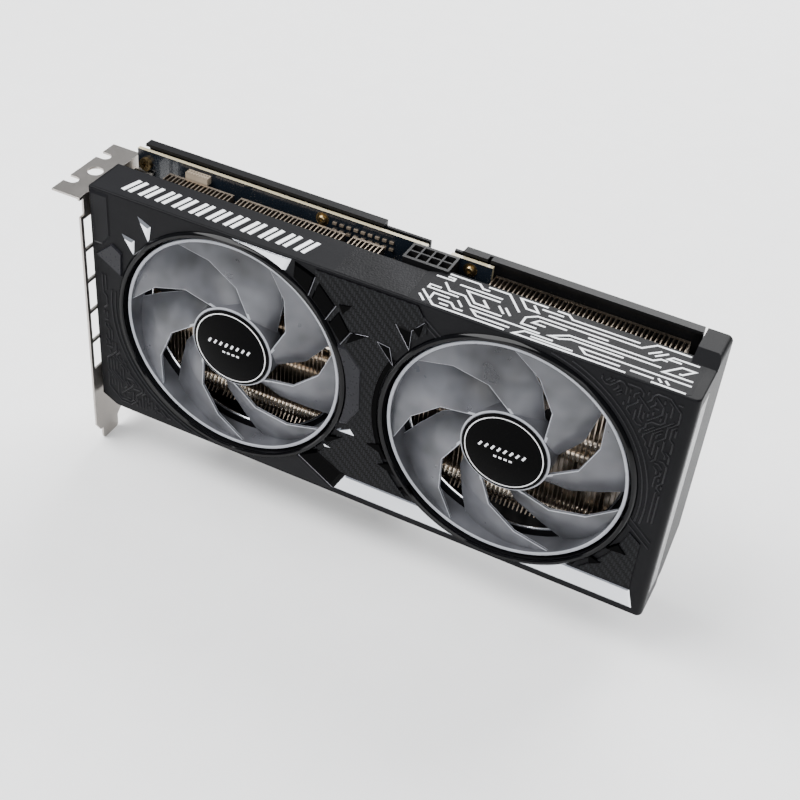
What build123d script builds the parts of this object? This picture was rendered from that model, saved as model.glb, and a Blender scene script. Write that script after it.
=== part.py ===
from build123d import *
import os
from math import cos, radians, sin

os.makedirs("parts", exist_ok=True)

# A two-slot, two-fan graphics card, in millimetres.
# X runs along the card from the outer face of the slot bracket (X = 0).
# Y runs through its thickness: the circuit board's component face is Y = 0 and the fans face -Y.
# Z runs up from the lower edge of the slot connector's fingers (Z = 0).

# Shroud
SHROUD_LEFT = 2.2
SHROUD_RIGHT = 235.6
SHROUD_BOTTOM = 13.7
SHROUD_TOP = 115.7
SHROUD_FRONT = -30.7
WALL = 2.0
STRIP_BACK_LEFT = -12.2
STRIP_BACK_RIGHT = -8.2
STRIP_STEP = (131.2, 138.7)
DUCT_BACK = -18.2

# Fans
FAN_CENTRES = {"left": 62.2, "right": 174.2}
TIP_ANGLES = {"left": 22.5, "right": 46.0}
FAN_Z = 64.7
BORE_RADIUS = 47.2
THROAT_RADIUS = 42.4
DUCT_WALL = 1.4
RING_RADIUS = 46.0
RING_THICKNESS = 1.4
ROTOR_FRONT = -29.9
ROTOR_BACK = -20.2
HUB_RADIUS = 17.2
HUB_FRONT = -29.4
HUB_WALL = 1.2
LABEL_RADIUS = 16.3
BLADES = 7
BLADE_THICKNESS = 1.1
BLADE_FRONT = -28.8
BLADE_BACK = -20.8
SHAFT_RADIUS = 1.5
SHAFT_CLEARANCE = 0.04

# Circuit board
BOARD_LEFT = 2.6
BOARD_RIGHT = 150.2
BOARD_LOW = 8.25
BOARD_TOP = 116.8
BOARD_THICKNESS = 1.6
CONNECTOR_START = 45.0
SHORT_FINGERS = 11.65
KEY_GAP = 1.9
LONG_FINGERS = 71.65
CONTACT_PITCH = 1.0

# Slot bracket, two expansion slots wide
SHEET = 0.86
BRACKET_FRONT = -34.84
BRACKET_BACK = 3.9
TAB_TOP = 112.0
TAB_LENGTH = 11.43
SLOT_PITCH = 20.32
NOTCH_WIDTH = 4.42
NOTCH_DEPTH = 5.0
NOTCH_CENTRES = (BRACKET_FRONT + 9.21, BRACKET_FRONT + 9.21 + SLOT_PITCH)
TAB_HOLE = (-5.4, -16.2)
TAB_HOLE_RADIUS = 3.0
TONGUE_WIDTH = 10.19
TONGUE_TIP = -8.0

# Display sockets, on the board's face and open towards -X
PORT_CENTRES_Z = (49.0, 71.0, 93.0)
PORT_SIZE = (17.5, 6.4, 17.2)
LOWER_PORT_Z = 27.5
LOWER_PORT_SIZE = (12.5, 6.4, 15.6)
PORT_FACE = 0.1
PORT_WALL = 0.7
PORT_DEPTH = 11.0

# Power socket, two rows of four pins
SOCKET_CENTRE = (128.9, -5.15, 110.8)
SOCKET_SIZE = (18.0, 10.3, 12.0)
PIN_PITCH = 4.2

# Heatsink
FIN_PITCH = 1.735
FIN_THICKNESS = 0.4
FIN_FRONT = -16.8
FIN_BACK = -3.4
FIN_LOW = 27.5
FIN_TOP = 113.0
PIPE_RADIUS = 3.0
PIPE_HOLE_RADIUS = 3.06
PIPE_Y = -12.4
PIPE_BEND = 10.35
BASE_PIPES_Z = (52.7, 60.7, 68.7, 76.7)
OUTER_PIPES_Z = (BASE_PIPES_Z[0] - 2 * PIPE_BEND, BASE_PIPES_Z[3] + 2 * PIPE_BEND)
BASE_X = (48.0, 94.0)
BASE_Z = (46.0, 83.0)
BASE_FRONT = PIPE_Y + PIPE_RADIUS
BASE_BACK = -2.4
CHIP = (71.0, 64.7)

# Backplate
PLATE_LEFT = 5.0
PLATE_RIGHT = 225.8
PLATE_LOW = 14.5
PLATE_TOP = 118.5
PLATE_BACK = 5.6
PLATE_THICKNESS = 1.2
PLATE_FRONT = PLATE_BACK - PLATE_THICKNESS
LIP_FRONT = 2.0


def at_depth(y):
    """A sketch plane at depth y that faces the fan side; its local axes are +X and +Z."""
    return Plane.XZ.offset(-y)


def save(piece, name):
    """Label a finished piece and write it as one STEP file."""
    piece.part.label = name
    export_step(piece.part, f"parts/{name}.step")


def fan_points():
    """Both fan centres, on a sketch plane that faces the fan side."""
    return [(fan_x, FAN_Z) for fan_x in FAN_CENTRES.values()]


# ---------------------------------------------------------------- shroud
SHROUD_OUTLINE = [
    (SHROUD_LEFT, SHROUD_BOTTOM + 4.0),
    (SHROUD_LEFT + 7.5, SHROUD_BOTTOM),
    (SHROUD_RIGHT, SHROUD_BOTTOM),
    (SHROUD_RIGHT, SHROUD_TOP),
    (SHROUD_LEFT, SHROUD_TOP),
]
CORNER_BOSSES = [(8.0, 22.0), (8.0, 107.0), (228.4, 22.0), (228.4, 107.0)]
FACE_BACK = SHROUD_FRONT + WALL
CAP_LEFT = 226.6
CAP_TOP = 118.4
CAP_FRONT = -12.2
LIGHT_CENTRE = (-21.6, 66.0)

with BuildPart() as shroud:
    # tray with an open back
    with BuildSketch(at_depth(SHROUD_FRONT)):
        with BuildLine():
            Polyline(*SHROUD_OUTLINE, close=True)
        make_face()
    extrude(amount=SHROUD_FRONT - STRIP_BACK_RIGHT)
    fillet(shroud.edges().filter_by(Axis.Z).group_by(Axis.X)[-1].sort_by(Axis.Y)[0], 2.4)
    fillet(shroud.faces().sort_by(Axis.Y)[0].edges().filter_by(Axis.X), 0.7)
    with BuildSketch(at_depth(FACE_BACK)):
        with BuildLine():
            Polyline(*SHROUD_OUTLINE, close=True)
        make_face()
        offset(amount=-WALL, kind=Kind.INTERSECTION, mode=Mode.REPLACE)
    extrude(amount=FACE_BACK, mode=Mode.SUBTRACT)
    # the left side is open towards the bracket's vents
    with Locations((SHROUD_LEFT, (FACE_BACK + STRIP_BACK_RIGHT) / 2 + 0.6, 66.0)):
        Box(3 * WALL, STRIP_BACK_RIGHT - FACE_BACK - 1.2, 84.0, mode=Mode.SUBTRACT)
    # the top strip is narrower on the bracket half, and steps out beside the power socket
    with BuildSketch(Plane.XY.offset(SHROUD_TOP - 3 * WALL)):
        with BuildLine():
            Polyline(
                (0, STRIP_BACK_LEFT),
                (STRIP_STEP[0], STRIP_BACK_LEFT),
                (STRIP_STEP[1], STRIP_BACK_RIGHT),
                (STRIP_STEP[1], 1),
                (0, 1),
                close=True,
            )
        make_face()
    extrude(amount=5 * WALL, mode=Mode.SUBTRACT)
    # the lower wall and the left side stop at the depth of the narrow strip
    with Locations((118.9, STRIP_BACK_LEFT + 5.0, SHROUD_BOTTOM)):
        Box(260.0, 10.0, 4 * WALL, mode=Mode.SUBTRACT)
    # inner lower lip that keeps the air in the fins, deeper where there is no board behind
    with Locations((122.0, (STRIP_BACK_LEFT - 1.4) / 2 - 0.2, SHROUD_BOTTOM + 1.4 * WALL)):
        Box(208.0, -STRIP_BACK_LEFT - 1.4, WALL)
    with Locations((189.0, 0.8, SHROUD_BOTTOM + 1.4 * WALL)):
        Box(74.0, 6.4, WALL)
    with Locations((SHROUD_LEFT, STRIP_BACK_LEFT + 5.0, 66.0)):
        Box(3 * WALL, 10.0, 110.0, mode=Mode.SUBTRACT)
    # room for the power socket behind the strip
    with Locations((SOCKET_CENTRE[0], SOCKET_CENTRE[1], SHROUD_TOP)):
        Box(SOCKET_SIZE[0] + 0.6, SOCKET_SIZE[1] + 0.6, 6 * WALL, mode=Mode.SUBTRACT)
    # fan ducts: a straight bore, then a steep step in to the throat above the fins
    with BuildSketch(at_depth(FACE_BACK)):
        with Locations(*fan_points()):
            Circle(BORE_RADIUS + DUCT_WALL)
    extrude(amount=FACE_BACK - DUCT_BACK)
    for fan_x in FAN_CENTRES.values():
        with BuildSketch(at_depth(SHROUD_FRONT)):
            with Locations((fan_x, FAN_Z)):
                Circle(BORE_RADIUS)
        extrude(amount=SHROUD_FRONT - ROTOR_BACK - 0.4, mode=Mode.SUBTRACT)
        with BuildSketch(at_depth(ROTOR_BACK + 0.4)):
            with Locations((fan_x, FAN_Z)):
                Circle(BORE_RADIUS)
        with BuildSketch(at_depth(DUCT_BACK)):
            with Locations((fan_x, FAN_Z)):
                Circle(THROAT_RADIUS)
        loft(mode=Mode.SUBTRACT)
    # screw bosses behind the face
    with BuildSketch(at_depth(FACE_BACK)):
        with Locations(*CORNER_BOSSES):
            Circle(2.6)
    extrude(amount=FACE_BACK - DUCT_BACK)
    with BuildSketch(at_depth(DUCT_BACK)):
        with Locations(*CORNER_BOSSES):
            Circle(1.3)
    extrude(amount=6.0, mode=Mode.SUBTRACT)
    # end cap that closes the right end behind the strip, up to the backplate
    with BuildSketch(Plane.YZ.offset(CAP_LEFT)):
        with BuildLine():
            Polyline(
                (CAP_FRONT, SHROUD_TOP),
                (STRIP_BACK_RIGHT + 2.0, CAP_TOP),
                (PLATE_BACK, CAP_TOP),
                (PLATE_BACK, 30.0),
                (STRIP_BACK_RIGHT, SHROUD_BOTTOM + 4.0),
                (CAP_FRONT, SHROUD_BOTTOM + 4.0),
                close=True,
            )
        make_face()
    extrude(amount=SHROUD_RIGHT - CAP_LEFT)
    with Locations(((CAP_LEFT + SHROUD_RIGHT) / 2 - WALL, -3.0, 64.0)):
        Box(SHROUD_RIGHT - CAP_LEFT, 30.0, 100.0, mode=Mode.SUBTRACT)
    fillet(shroud.edges().filter_by(Axis.Y).group_by(Axis.Z)[-1].sort_by(Axis.X)[-1], 2.2)
    # pocket for the end light bar
    with Locations((SHROUD_RIGHT, *LIGHT_CENTRE)):
        Box(2.4, 10.4, 88.4, mode=Mode.SUBTRACT)
save(shroud, "shroud")

# ---------------------------------------------------------------- trim on the face
TRIM_THICKNESS = 0.5
BEZEL_RADIUS = BORE_RADIUS + 1.4
CARBON_OUTLINES = [
    [(97.0, 114.4), (136.5, 114.4), (140.5, 108.0), (140.5, 26.6), (112.0, 26.6), (100.0, 33.0)],
    [(201.0, 26.6), (228.8, 26.6), (228.8, 48.4), (219.6, 55.4)],
]
with BuildPart() as carbon_panels:
    # woven-pattern panels between the fans and in the lower right corner
    for corners in CARBON_OUTLINES:
        with BuildSketch(at_depth(SHROUD_FRONT)):
            with BuildLine():
                Polyline(*corners, close=True)
            make_face()
            with Locations(*fan_points()):
                Circle(BEZEL_RADIUS + 3.0, mode=Mode.SUBTRACT)
        extrude(amount=TRIM_THICKNESS)
save(carbon_panels, "carbon_panels")

with BuildPart() as lower_trim:
    # bright bevelled strip along the lower edge, cut through by the second fan's bezel
    with BuildSketch(at_depth(SHROUD_FRONT)):
        with BuildLine():
            Polyline((109.6, 17.0), (114.0, 25.4), (229.2, 25.4), (231.6, 17.0), close=True)
        make_face()
        with Locations((FAN_CENTRES["right"], FAN_Z)):
            Circle(BEZEL_RADIUS, mode=Mode.SUBTRACT)
    extrude(amount=TRIM_THICKNESS)
save(lower_trim, "lower_trim")

SPIKES = [
    [(23.4, 109.5), (28.6, 106.6), (27.8, 99.5)],
    [(15.9, 99.7), (21.3, 98.2), (20.9, 91.6)],
    [(3.9, 87.0), (11.3, 93.7), (15.0, 90.6), (14.6, 79.9)],
]
with BuildPart() as facet_trims:
    # small glossy facets beside the left fan
    for corners in SPIKES:
        with BuildSketch(at_depth(SHROUD_FRONT)):
            with BuildLine():
                Polyline(*corners, close=True)
            make_face()
            with Locations(*fan_points()):
                Circle(BEZEL_RADIUS, mode=Mode.SUBTRACT)
        extrude(amount=TRIM_THICKNESS)
save(facet_trims, "facet_trims")

with BuildPart() as light_guide:
    # frosted light guide let into the right end
    with Locations((SHROUD_RIGHT - 0.6, *LIGHT_CENTRE)):
        Box(1.2, 10.2, 88.0)
save(light_guide, "light_guide")

with BuildPart() as light_board:
    # narrow lamp board behind the light guide, with six lamps
    with Locations((SHROUD_RIGHT - WALL - 0.5, *LIGHT_CENTRE)):
        Box(0.8, 7.0, 84.0)
        with Locations(*[(-0.8, 0, step * 14.0) for step in (-2.5, -1.5, -0.5, 0.5, 1.5, 2.5)]):
            Box(0.8, 3.0, 3.0)
save(light_board, "light_board")

# ---------------------------------------------------------------- fans
# A blade's stations from root to tip: radius, then the angles of its front and back edges,
# counted from the point where the front edge meets the ring.
BLADE_STATIONS = [(15.8, -60.0, -98.0), (27.5, -38.2, -74.0), (36.8, -19.3, -58.5), (50.5, 8.5, -44.5)]
ROOF_BACK = HUB_FRONT + HUB_WALL
FRAME_THICKNESS = 1.2
FRAME_BACK = DUCT_BACK + FRAME_THICKNESS
ARM_ANGLES = (50.0, 110.0, 170.0)
STATOR_RADIUS = 13.2
TUBE_RADIUS = 4.8
BEARING_RADIUS = 3.6


def blade_plane(fan_x, distance, angle):
    """A sketch plane square to the radius at an angle about one fan's axis."""
    outward = (cos(radians(angle)), 0, sin(radians(angle)))
    along = (-sin(radians(angle)), 0, cos(radians(angle)))
    origin = (fan_x + distance * outward[0], 0, FAN_Z + distance * outward[2])
    return Plane(origin=origin, x_dir=along, z_dir=outward)


for side, fan_x in FAN_CENTRES.items():
    centre = (fan_x, FAN_Z)

    with BuildPart() as fan_rotor:
        # seven swept blades with kinked edges; the front edge leads anticlockwise
        for blade in range(BLADES):
            tip_angle = TIP_ANGLES[side] + 360.0 / BLADES * blade
            for radius, front_angle, back_angle in BLADE_STATIONS:
                half = radians((front_angle - back_angle) / 2)
                middle = tip_angle + (front_angle + back_angle) / 2
                reach = radius * sin(half)
                with BuildSketch(blade_plane(fan_x, radius * cos(half), middle)):
                    with BuildLine():
                        Polyline(
                            (reach, -BLADE_FRONT),
                            (reach, -BLADE_FRONT - BLADE_THICKNESS),
                            (-reach, -BLADE_BACK),
                            (-reach, -BLADE_BACK + BLADE_THICKNESS),
                            close=True,
                        )
                    make_face()
            loft(ruled=True)
        # trim the blades to the ring and the hub, then add both
        with BuildSketch(at_depth(SHROUD_FRONT)):
            with Locations(centre):
                Circle(2 * RING_RADIUS)
                Circle(RING_RADIUS - 0.7, mode=Mode.SUBTRACT)
                Circle(HUB_RADIUS - 0.6)
        extrude(amount=2 * (SHROUD_FRONT - DUCT_BACK), mode=Mode.SUBTRACT)
        with BuildSketch(at_depth(ROTOR_FRONT)):
            with Locations(centre):
                Circle(RING_RADIUS)
                Circle(RING_RADIUS - RING_THICKNESS, mode=Mode.SUBTRACT)
        extrude(amount=ROTOR_FRONT - ROTOR_BACK)
        with BuildSketch(at_depth(HUB_FRONT)):
            with Locations(centre):
                Circle(HUB_RADIUS)
        extrude(amount=HUB_FRONT - ROTOR_BACK)
        with BuildSketch(at_depth(ROOF_BACK)):
            with Locations(centre):
                Circle(HUB_RADIUS - HUB_WALL)
        extrude(amount=ROOF_BACK - DUCT_BACK, mode=Mode.SUBTRACT)
    save(fan_rotor, f"fan_rotor_{side}")

    with BuildPart() as hub_label:
        # round label let into the hub's face, with its edge rounded
        with BuildSketch(at_depth(HUB_FRONT - 0.5)):
            with Locations(centre):
                Circle(LABEL_RADIUS)
        extrude(amount=-0.5)
    save(hub_label, f"hub_label_{side}")

    with BuildPart() as fan_magnet:
        # ring magnet pressed into the hub cup
        with BuildSketch(at_depth(ROOF_BACK + 0.5)):
            with Locations(centre):
                Circle(HUB_RADIUS - HUB_WALL - 0.02)
                Circle(STATOR_RADIUS + 0.4, mode=Mode.SUBTRACT)
        extrude(amount=-7.0)
    save(fan_magnet, f"fan_magnet_{side}")

    with BuildPart() as fan_shaft:
        # steel shaft fixed to the roof of the hub
        with BuildSketch(at_depth(ROOF_BACK)):
            with Locations(centre):
                Circle(SHAFT_RADIUS)
        extrude(amount=ROOF_BACK - DUCT_BACK + 0.4)
    save(fan_shaft, f"fan_shaft_{side}")

    with BuildPart() as fan_frame:
        # flat three-armed frame behind the rotor, with the bearing tube at its centre
        with BuildSketch(at_depth(DUCT_BACK)):
            with Locations(centre):
                Circle(THROAT_RADIUS + 3.0)
                Circle(THROAT_RADIUS + 0.6, mode=Mode.SUBTRACT)
                Circle(STATOR_RADIUS + 1.6)
            for angle in ARM_ANGLES:
                middle = (THROAT_RADIUS + STATOR_RADIUS) / 2
                arm_x = fan_x + middle * cos(radians(angle))
                arm_z = FAN_Z + middle * sin(radians(angle))
                with Locations((arm_x, arm_z)):
                    Rectangle(THROAT_RADIUS - STATOR_RADIUS + 4.0, 5.0, rotation=angle)
        extrude(amount=-FRAME_THICKNESS)
        with BuildSketch(at_depth(DUCT_BACK)):
            with Locations(centre):
                Circle(TUBE_RADIUS)
        extrude(amount=8.6)
        with BuildSketch(at_depth(DUCT_BACK - 8.6)):
            with Locations(centre):
                Circle(BEARING_RADIUS)
        extrude(amount=-8.9, mode=Mode.SUBTRACT)
    save(fan_frame, f"fan_frame_{side}")

    with BuildPart() as fan_bearing:
        # bronze sleeve that the shaft runs in
        with BuildSketch(at_depth(DUCT_BACK - 8.6)):
            with Locations(centre):
                Circle(BEARING_RADIUS)
                Circle(SHAFT_RADIUS + SHAFT_CLEARANCE, mode=Mode.SUBTRACT)
        extrude(amount=-8.6)
    save(fan_bearing, f"fan_bearing_{side}")

    with BuildPart() as fan_stator:
        # iron core with four wound poles round the bearing tube
        with BuildSketch(at_depth(DUCT_BACK - 7.8)):
            with Locations(centre):
                Circle(STATOR_RADIUS)
                with PolarLocations(STATOR_RADIUS - 3.0, 4, start_angle=45):
                    SlotCenterToCenter(6.0, 2.4, mode=Mode.SUBTRACT)
                Circle(TUBE_RADIUS, mode=Mode.SUBTRACT)
        extrude(amount=-5.0)
    save(fan_stator, f"fan_stator_{side}")

    with BuildPart() as fan_board:
        # round driver board on the frame, with two chips and four lamps
        with BuildSketch(at_depth(DUCT_BACK - 0.8)):
            with Locations(centre):
                Circle(STATOR_RADIUS + 0.6)
                Circle(TUBE_RADIUS, mode=Mode.SUBTRACT)
        extrude(amount=-0.8)
        with BuildSketch(at_depth(DUCT_BACK - 1.6)):
            with Locations(centre):
                with PolarLocations(9.2, 6):
                    Rectangle(2.6, 2.6)
        extrude(amount=-0.8)
    save(fan_board, f"fan_board_{side}")

# ---------------------------------------------------------------- heatsink
FIN_GROUPS = [
    # first fin, last allowed X, back edge, top edge, with the base's own pipes, with the base pocket
    ("left", 19.3, 47.5, FIN_BACK, FIN_TOP, True, False),
    ("left", 49.0, 95.0, FIN_BACK, FIN_TOP, True, True),
    ("left", 96.0, 111.0, FIN_BACK, FIN_TOP, False, False),
    ("right", 112.4, 139.8, -8.0, 88.0, False, False),
    ("right", 140.8, 149.6, -5.0, FIN_TOP, False, False),
    ("right", 150.8, 224.2, 2.4, FIN_TOP, False, False),
]
ALL_PIPES_Z = (OUTER_PIPES_Z[0], *BASE_PIPES_Z, OUTER_PIPES_Z[1])
LONG_PIPES_Z = (OUTER_PIPES_Z[0], BASE_PIPES_Z[1], BASE_PIPES_Z[2], OUTER_PIPES_Z[1])
FIN_ORIGIN = 19.3
VALLEY_DEPTH = 2.6
TIE_HEIGHT = 0.4
TIE_DEPTH = 1.0


def fin_positions(first, last):
    """X of every fin of one group, on the one even pitch that runs the whole length."""
    start = round((first - FIN_ORIGIN) / FIN_PITCH + 0.49)
    places = [FIN_ORIGIN + FIN_PITCH * count for count in range(start, start + 80)]
    return [x for x in places if x + FIN_THICKNESS <= last]


for stack in ("left", "right"):
    with BuildPart() as fin_stack:
        for name, first, last, back, top, base_pipes, pocket in FIN_GROUPS:
            if name != stack:
                continue
            places = fin_positions(first, last)
            with BuildSketch(*[Plane.YZ.offset(x) for x in places]):
                with Locations(((FIN_FRONT + back) / 2, (FIN_LOW + top) / 2)):
                    Rectangle(back - FIN_FRONT, top - FIN_LOW)
                if pocket:
                    with Locations(((BASE_FRONT + 1.0) / 2, (BASE_Z[0] + BASE_Z[1]) / 2)):
                        Rectangle(1.0 - BASE_FRONT, BASE_Z[1] - BASE_Z[0] + 0.2, mode=Mode.SUBTRACT)
                pipes = ALL_PIPES_Z if base_pipes else LONG_PIPES_Z
                with Locations(*[(PIPE_Y, z) for z in pipes if z < top]):
                    Circle(PIPE_HOLE_RADIUS, mode=Mode.SUBTRACT)
                with BuildLine():
                    Polyline(
                        (FIN_FRONT - 1.0, OUTER_PIPES_Z[0] + 6.0),
                        (FIN_FRONT + VALLEY_DEPTH, OUTER_PIPES_Z[0] + 1.6),
                        (FIN_FRONT + VALLEY_DEPTH, OUTER_PIPES_Z[0] - 1.6),
                        (FIN_FRONT - 1.0, FIN_LOW - 1.0),
                        close=True,
                    )
                make_face(mode=Mode.SUBTRACT)
            extrude(amount=FIN_THICKNESS)
            # folded ties along the upper and lower edges join the fins
            tie_length = places[-1] - places[0] + FIN_THICKNESS
            tie_middle = (places[0] + places[-1] + FIN_THICKNESS) / 2
            for tie_y in (FIN_FRONT + 3.2, back - TIE_DEPTH / 2):
                for tie_z in (FIN_LOW + TIE_HEIGHT / 2, top - TIE_HEIGHT / 2):
                    with Locations((tie_middle, tie_y, tie_z)):
                        Box(tie_length, TIE_DEPTH, TIE_HEIGHT)
        if stack == "left":
            # the three left groups share their upper and lower ties
            with Locations((65.0, FIN_FRONT + 3.2, FIN_TOP - TIE_HEIGHT / 2)):
                Box(88.0, TIE_DEPTH, TIE_HEIGHT)
            with Locations((65.0, FIN_FRONT + 3.2, FIN_LOW + TIE_HEIGHT / 2)):
                Box(88.0, TIE_DEPTH, TIE_HEIGHT)
        else:
            with Locations((168.0, FIN_FRONT + 3.2, FIN_LOW + TIE_HEIGHT / 2)):
                Box(108.0, TIE_DEPTH, TIE_HEIGHT)
    save(fin_stack, f"fin_stack_{stack}")

with BuildPart() as heat_pipes:
    # two straight pipes and two that turn back at the bracket end
    for pipe_z in BASE_PIPES_Z[1:3]:
        with BuildSketch(Plane.YZ.offset(BASE_X[0])):
            with Locations((PIPE_Y, pipe_z)):
                Circle(PIPE_RADIUS)
        extrude(amount=222.0 - BASE_X[0])
    for start_z, end_z in ((BASE_PIPES_Z[0], OUTER_PIPES_Z[0]), (BASE_PIPES_Z[3], OUTER_PIPES_Z[1])):
        middle_z = (start_z + end_z) / 2
        with BuildLine() as route:
            Line((BASE_X[1], PIPE_Y, start_z), (19.0, PIPE_Y, start_z))
            ThreePointArc(
                (19.0, PIPE_Y, start_z),
                (19.0 - PIPE_BEND, PIPE_Y, middle_z),
                (19.0, PIPE_Y, end_z),
            )
            Line((19.0, PIPE_Y, end_z), (222.0, PIPE_Y, end_z))
        with BuildSketch(Plane(origin=(BASE_X[1], PIPE_Y, start_z), z_dir=(-1, 0, 0))):
            Circle(PIPE_RADIUS)
        sweep(path=route.line)
save(heat_pipes, "heat_pipes")

with BuildPart() as cold_plate:
    # copper block that carries the pipes over the processor
    with Locations(((BASE_X[0] + BASE_X[1]) / 2, (BASE_FRONT + BASE_BACK) / 2, (BASE_Z[0] + BASE_Z[1]) / 2)):
        Box(BASE_X[1] - BASE_X[0], BASE_BACK - BASE_FRONT, BASE_Z[1] - BASE_Z[0])
save(cold_plate, "cold_plate")

EAR_FRONT = DUCT_BACK
with BuildPart() as cooler_brackets:
    # sheet brackets at both ends of the fins, with ears screwed to the shroud's bosses
    for sheet_x, boss_x in ((17.4, CORNER_BOSSES[0][0]), (225.0, CORNER_BOSSES[2][0])):
        with Locations((sheet_x, (EAR_FRONT + FIN_BACK) / 2 - 3.0, 64.5)):
            Box(1.0, FIN_BACK - EAR_FRONT - 6.0, 89.0)
        with BuildSketch(at_depth(EAR_FRONT)):
            with Locations(((sheet_x + boss_x) / 2, 22.0), ((sheet_x + boss_x) / 2, 107.0)):
                Rectangle(abs(sheet_x - boss_x) + 5.0, 5.6)
            with Locations((boss_x, 22.0), (boss_x, 107.0)):
                Circle(1.3, mode=Mode.SUBTRACT)
        extrude(amount=-1.0)
    # relief for the left fan's frame
    with Locations((17.4, EAR_FRONT + 0.8, FAN_Z)):
        Box(3.0, 1.6, 28.0, mode=Mode.SUBTRACT)
    # holes for the pipes, and slots where the returning pair turns back
    with BuildSketch(Plane.YZ):
        with Locations(*[(PIPE_Y, z) for z in LONG_PIPES_Z]):
            Circle(PIPE_HOLE_RADIUS)
    extrude(amount=230.0, mode=Mode.SUBTRACT)
    for low, high in ((OUTER_PIPES_Z[0], BASE_PIPES_Z[0]), (BASE_PIPES_Z[3], OUTER_PIPES_Z[1])):
        with Locations((17.4, PIPE_Y, (low + high) / 2)):
            Box(3.0, 2 * PIPE_HOLE_RADIUS + 0.2, high - low + 2 * PIPE_HOLE_RADIUS + 0.2, mode=Mode.SUBTRACT)
save(cooler_brackets, "cooler_brackets")

with BuildPart() as shroud_screws:
    # four screws through the ears into the bosses
    with BuildSketch(at_depth(EAR_FRONT + 1.0)):
        with Locations(*CORNER_BOSSES):
            Circle(1.25)
    extrude(amount=5.0)
    with BuildSketch(at_depth(EAR_FRONT + 1.0)):
        with Locations(*CORNER_BOSSES):
            Circle(2.4)
    extrude(amount=-1.3)
    with BuildSketch(at_depth(EAR_FRONT + 2.3)):
        with Locations(*CORNER_BOSSES):
            Rectangle(2.6, 0.5)
            Rectangle(0.5, 2.6)
    extrude(amount=0.7, mode=Mode.SUBTRACT)
save(shroud_screws, "shroud_screws")

# ---------------------------------------------------------------- circuit board
COOLER_HOLES = [(CHIP[0] + sx * 27.5, CHIP[1] + sz * 27.5) for sx in (-1, 1) for sz in (-1, 1)]
BOARD_HOLES = [(6.6, 111.4), (6.6, 16.0), (82.7, 113.4), (142.0, 113.2), (146.0, 14.0)]
LONG_START = CONNECTOR_START + SHORT_FINGERS + KEY_GAP
LONG_END = LONG_START + LONG_FINGERS
SOCKET_NOTCH = (124.8, 134.0)
with BuildPart() as circuit_board:
    with BuildSketch(at_depth(0)):
        with BuildLine():
            Polyline(
                (BOARD_LEFT, BOARD_LOW),
                (CONNECTOR_START, BOARD_LOW),
                (CONNECTOR_START, 0.0),
                (LONG_END, 0.0),
                (LONG_END, BOARD_LOW),
                (LONG_END + 3.0, BOARD_LOW),
                (LONG_END + 3.0, 2.0),
                (LONG_END + 6.0, 2.0),
                (LONG_END + 6.0, 5.0),
                (LONG_END + 8.5, 5.0),
                (LONG_END + 8.5, BOARD_LOW),
                (BOARD_RIGHT, BOARD_LOW),
                (BOARD_RIGHT, BOARD_TOP),
                (SOCKET_NOTCH[1], BOARD_TOP),
                (SOCKET_NOTCH[1], BOARD_TOP - 5.0),
                (SOCKET_NOTCH[0], BOARD_TOP - 5.0),
                (SOCKET_NOTCH[0], BOARD_TOP),
                (BOARD_LEFT, BOARD_TOP),
                close=True,
            )
        make_face()
        with Locations((CONNECTOR_START + SHORT_FINGERS + KEY_GAP / 2, 2.0)):
            Rectangle(KEY_GAP, 11.0, mode=Mode.SUBTRACT)
        with Locations(*COOLER_HOLES, *BOARD_HOLES):
            Circle(1.7, mode=Mode.SUBTRACT)
    extrude(amount=-BOARD_THICKNESS)
save(circuit_board, "circuit_board")

CONTACT_THICKNESS = 0.05
with BuildPart() as edge_contacts:
    # gold fingers on both faces: eleven before the key and seventy-one after it
    for depth in (-CONTACT_THICKNESS, BOARD_THICKNESS):
        with BuildSketch(at_depth(depth)):
            with Locations((CONNECTOR_START + SHORT_FINGERS / 2, 3.0)):
                with GridLocations(CONTACT_PITCH, 1.0, 11, 1):
                    Rectangle(0.7, 4.6)
            with Locations((LONG_START + LONG_FINGERS / 2, 3.0)):
                with GridLocations(CONTACT_PITCH, 1.0, 71, 1):
                    Rectangle(0.7, 4.6)
        extrude(amount=-CONTACT_THICKNESS)
save(edge_contacts, "edge_contacts")

with BuildPart() as chip_package:
    # processor's square substrate on its field of solder
    with Locations((CHIP[0], -0.8, CHIP[1])):
        Box(37.5, 1.6, 37.5)
save(chip_package, "chip_package")

with BuildPart() as chip_die:
    # bare processor die under the cold plate
    with Locations((CHIP[0], (BASE_BACK - 1.6) / 2, CHIP[1])):
        Box(15.8, -BASE_BACK - 1.6, 17.4)
save(chip_die, "chip_die")

MEMORY = [(41.0, 54.0), (41.0, 72.0), (101.0, 54.0), (101.0, 72.0), (62.0, 98.5), (80.0, 98.5)]
with BuildPart() as memory_chips:
    for chip_x, chip_z in MEMORY:
        with Locations((chip_x, -0.6, chip_z)):
            Box(12.0, 1.2, 14.0)
save(memory_chips, "memory_chips")

with BuildPart() as thermal_pads:
    # soft pads between the memory and the frame plate
    for chip_x, chip_z in MEMORY:
        with Locations((chip_x, -1.55, chip_z)):
            Box(11.0, 0.7, 13.0)
save(thermal_pads, "thermal_pads")

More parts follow.
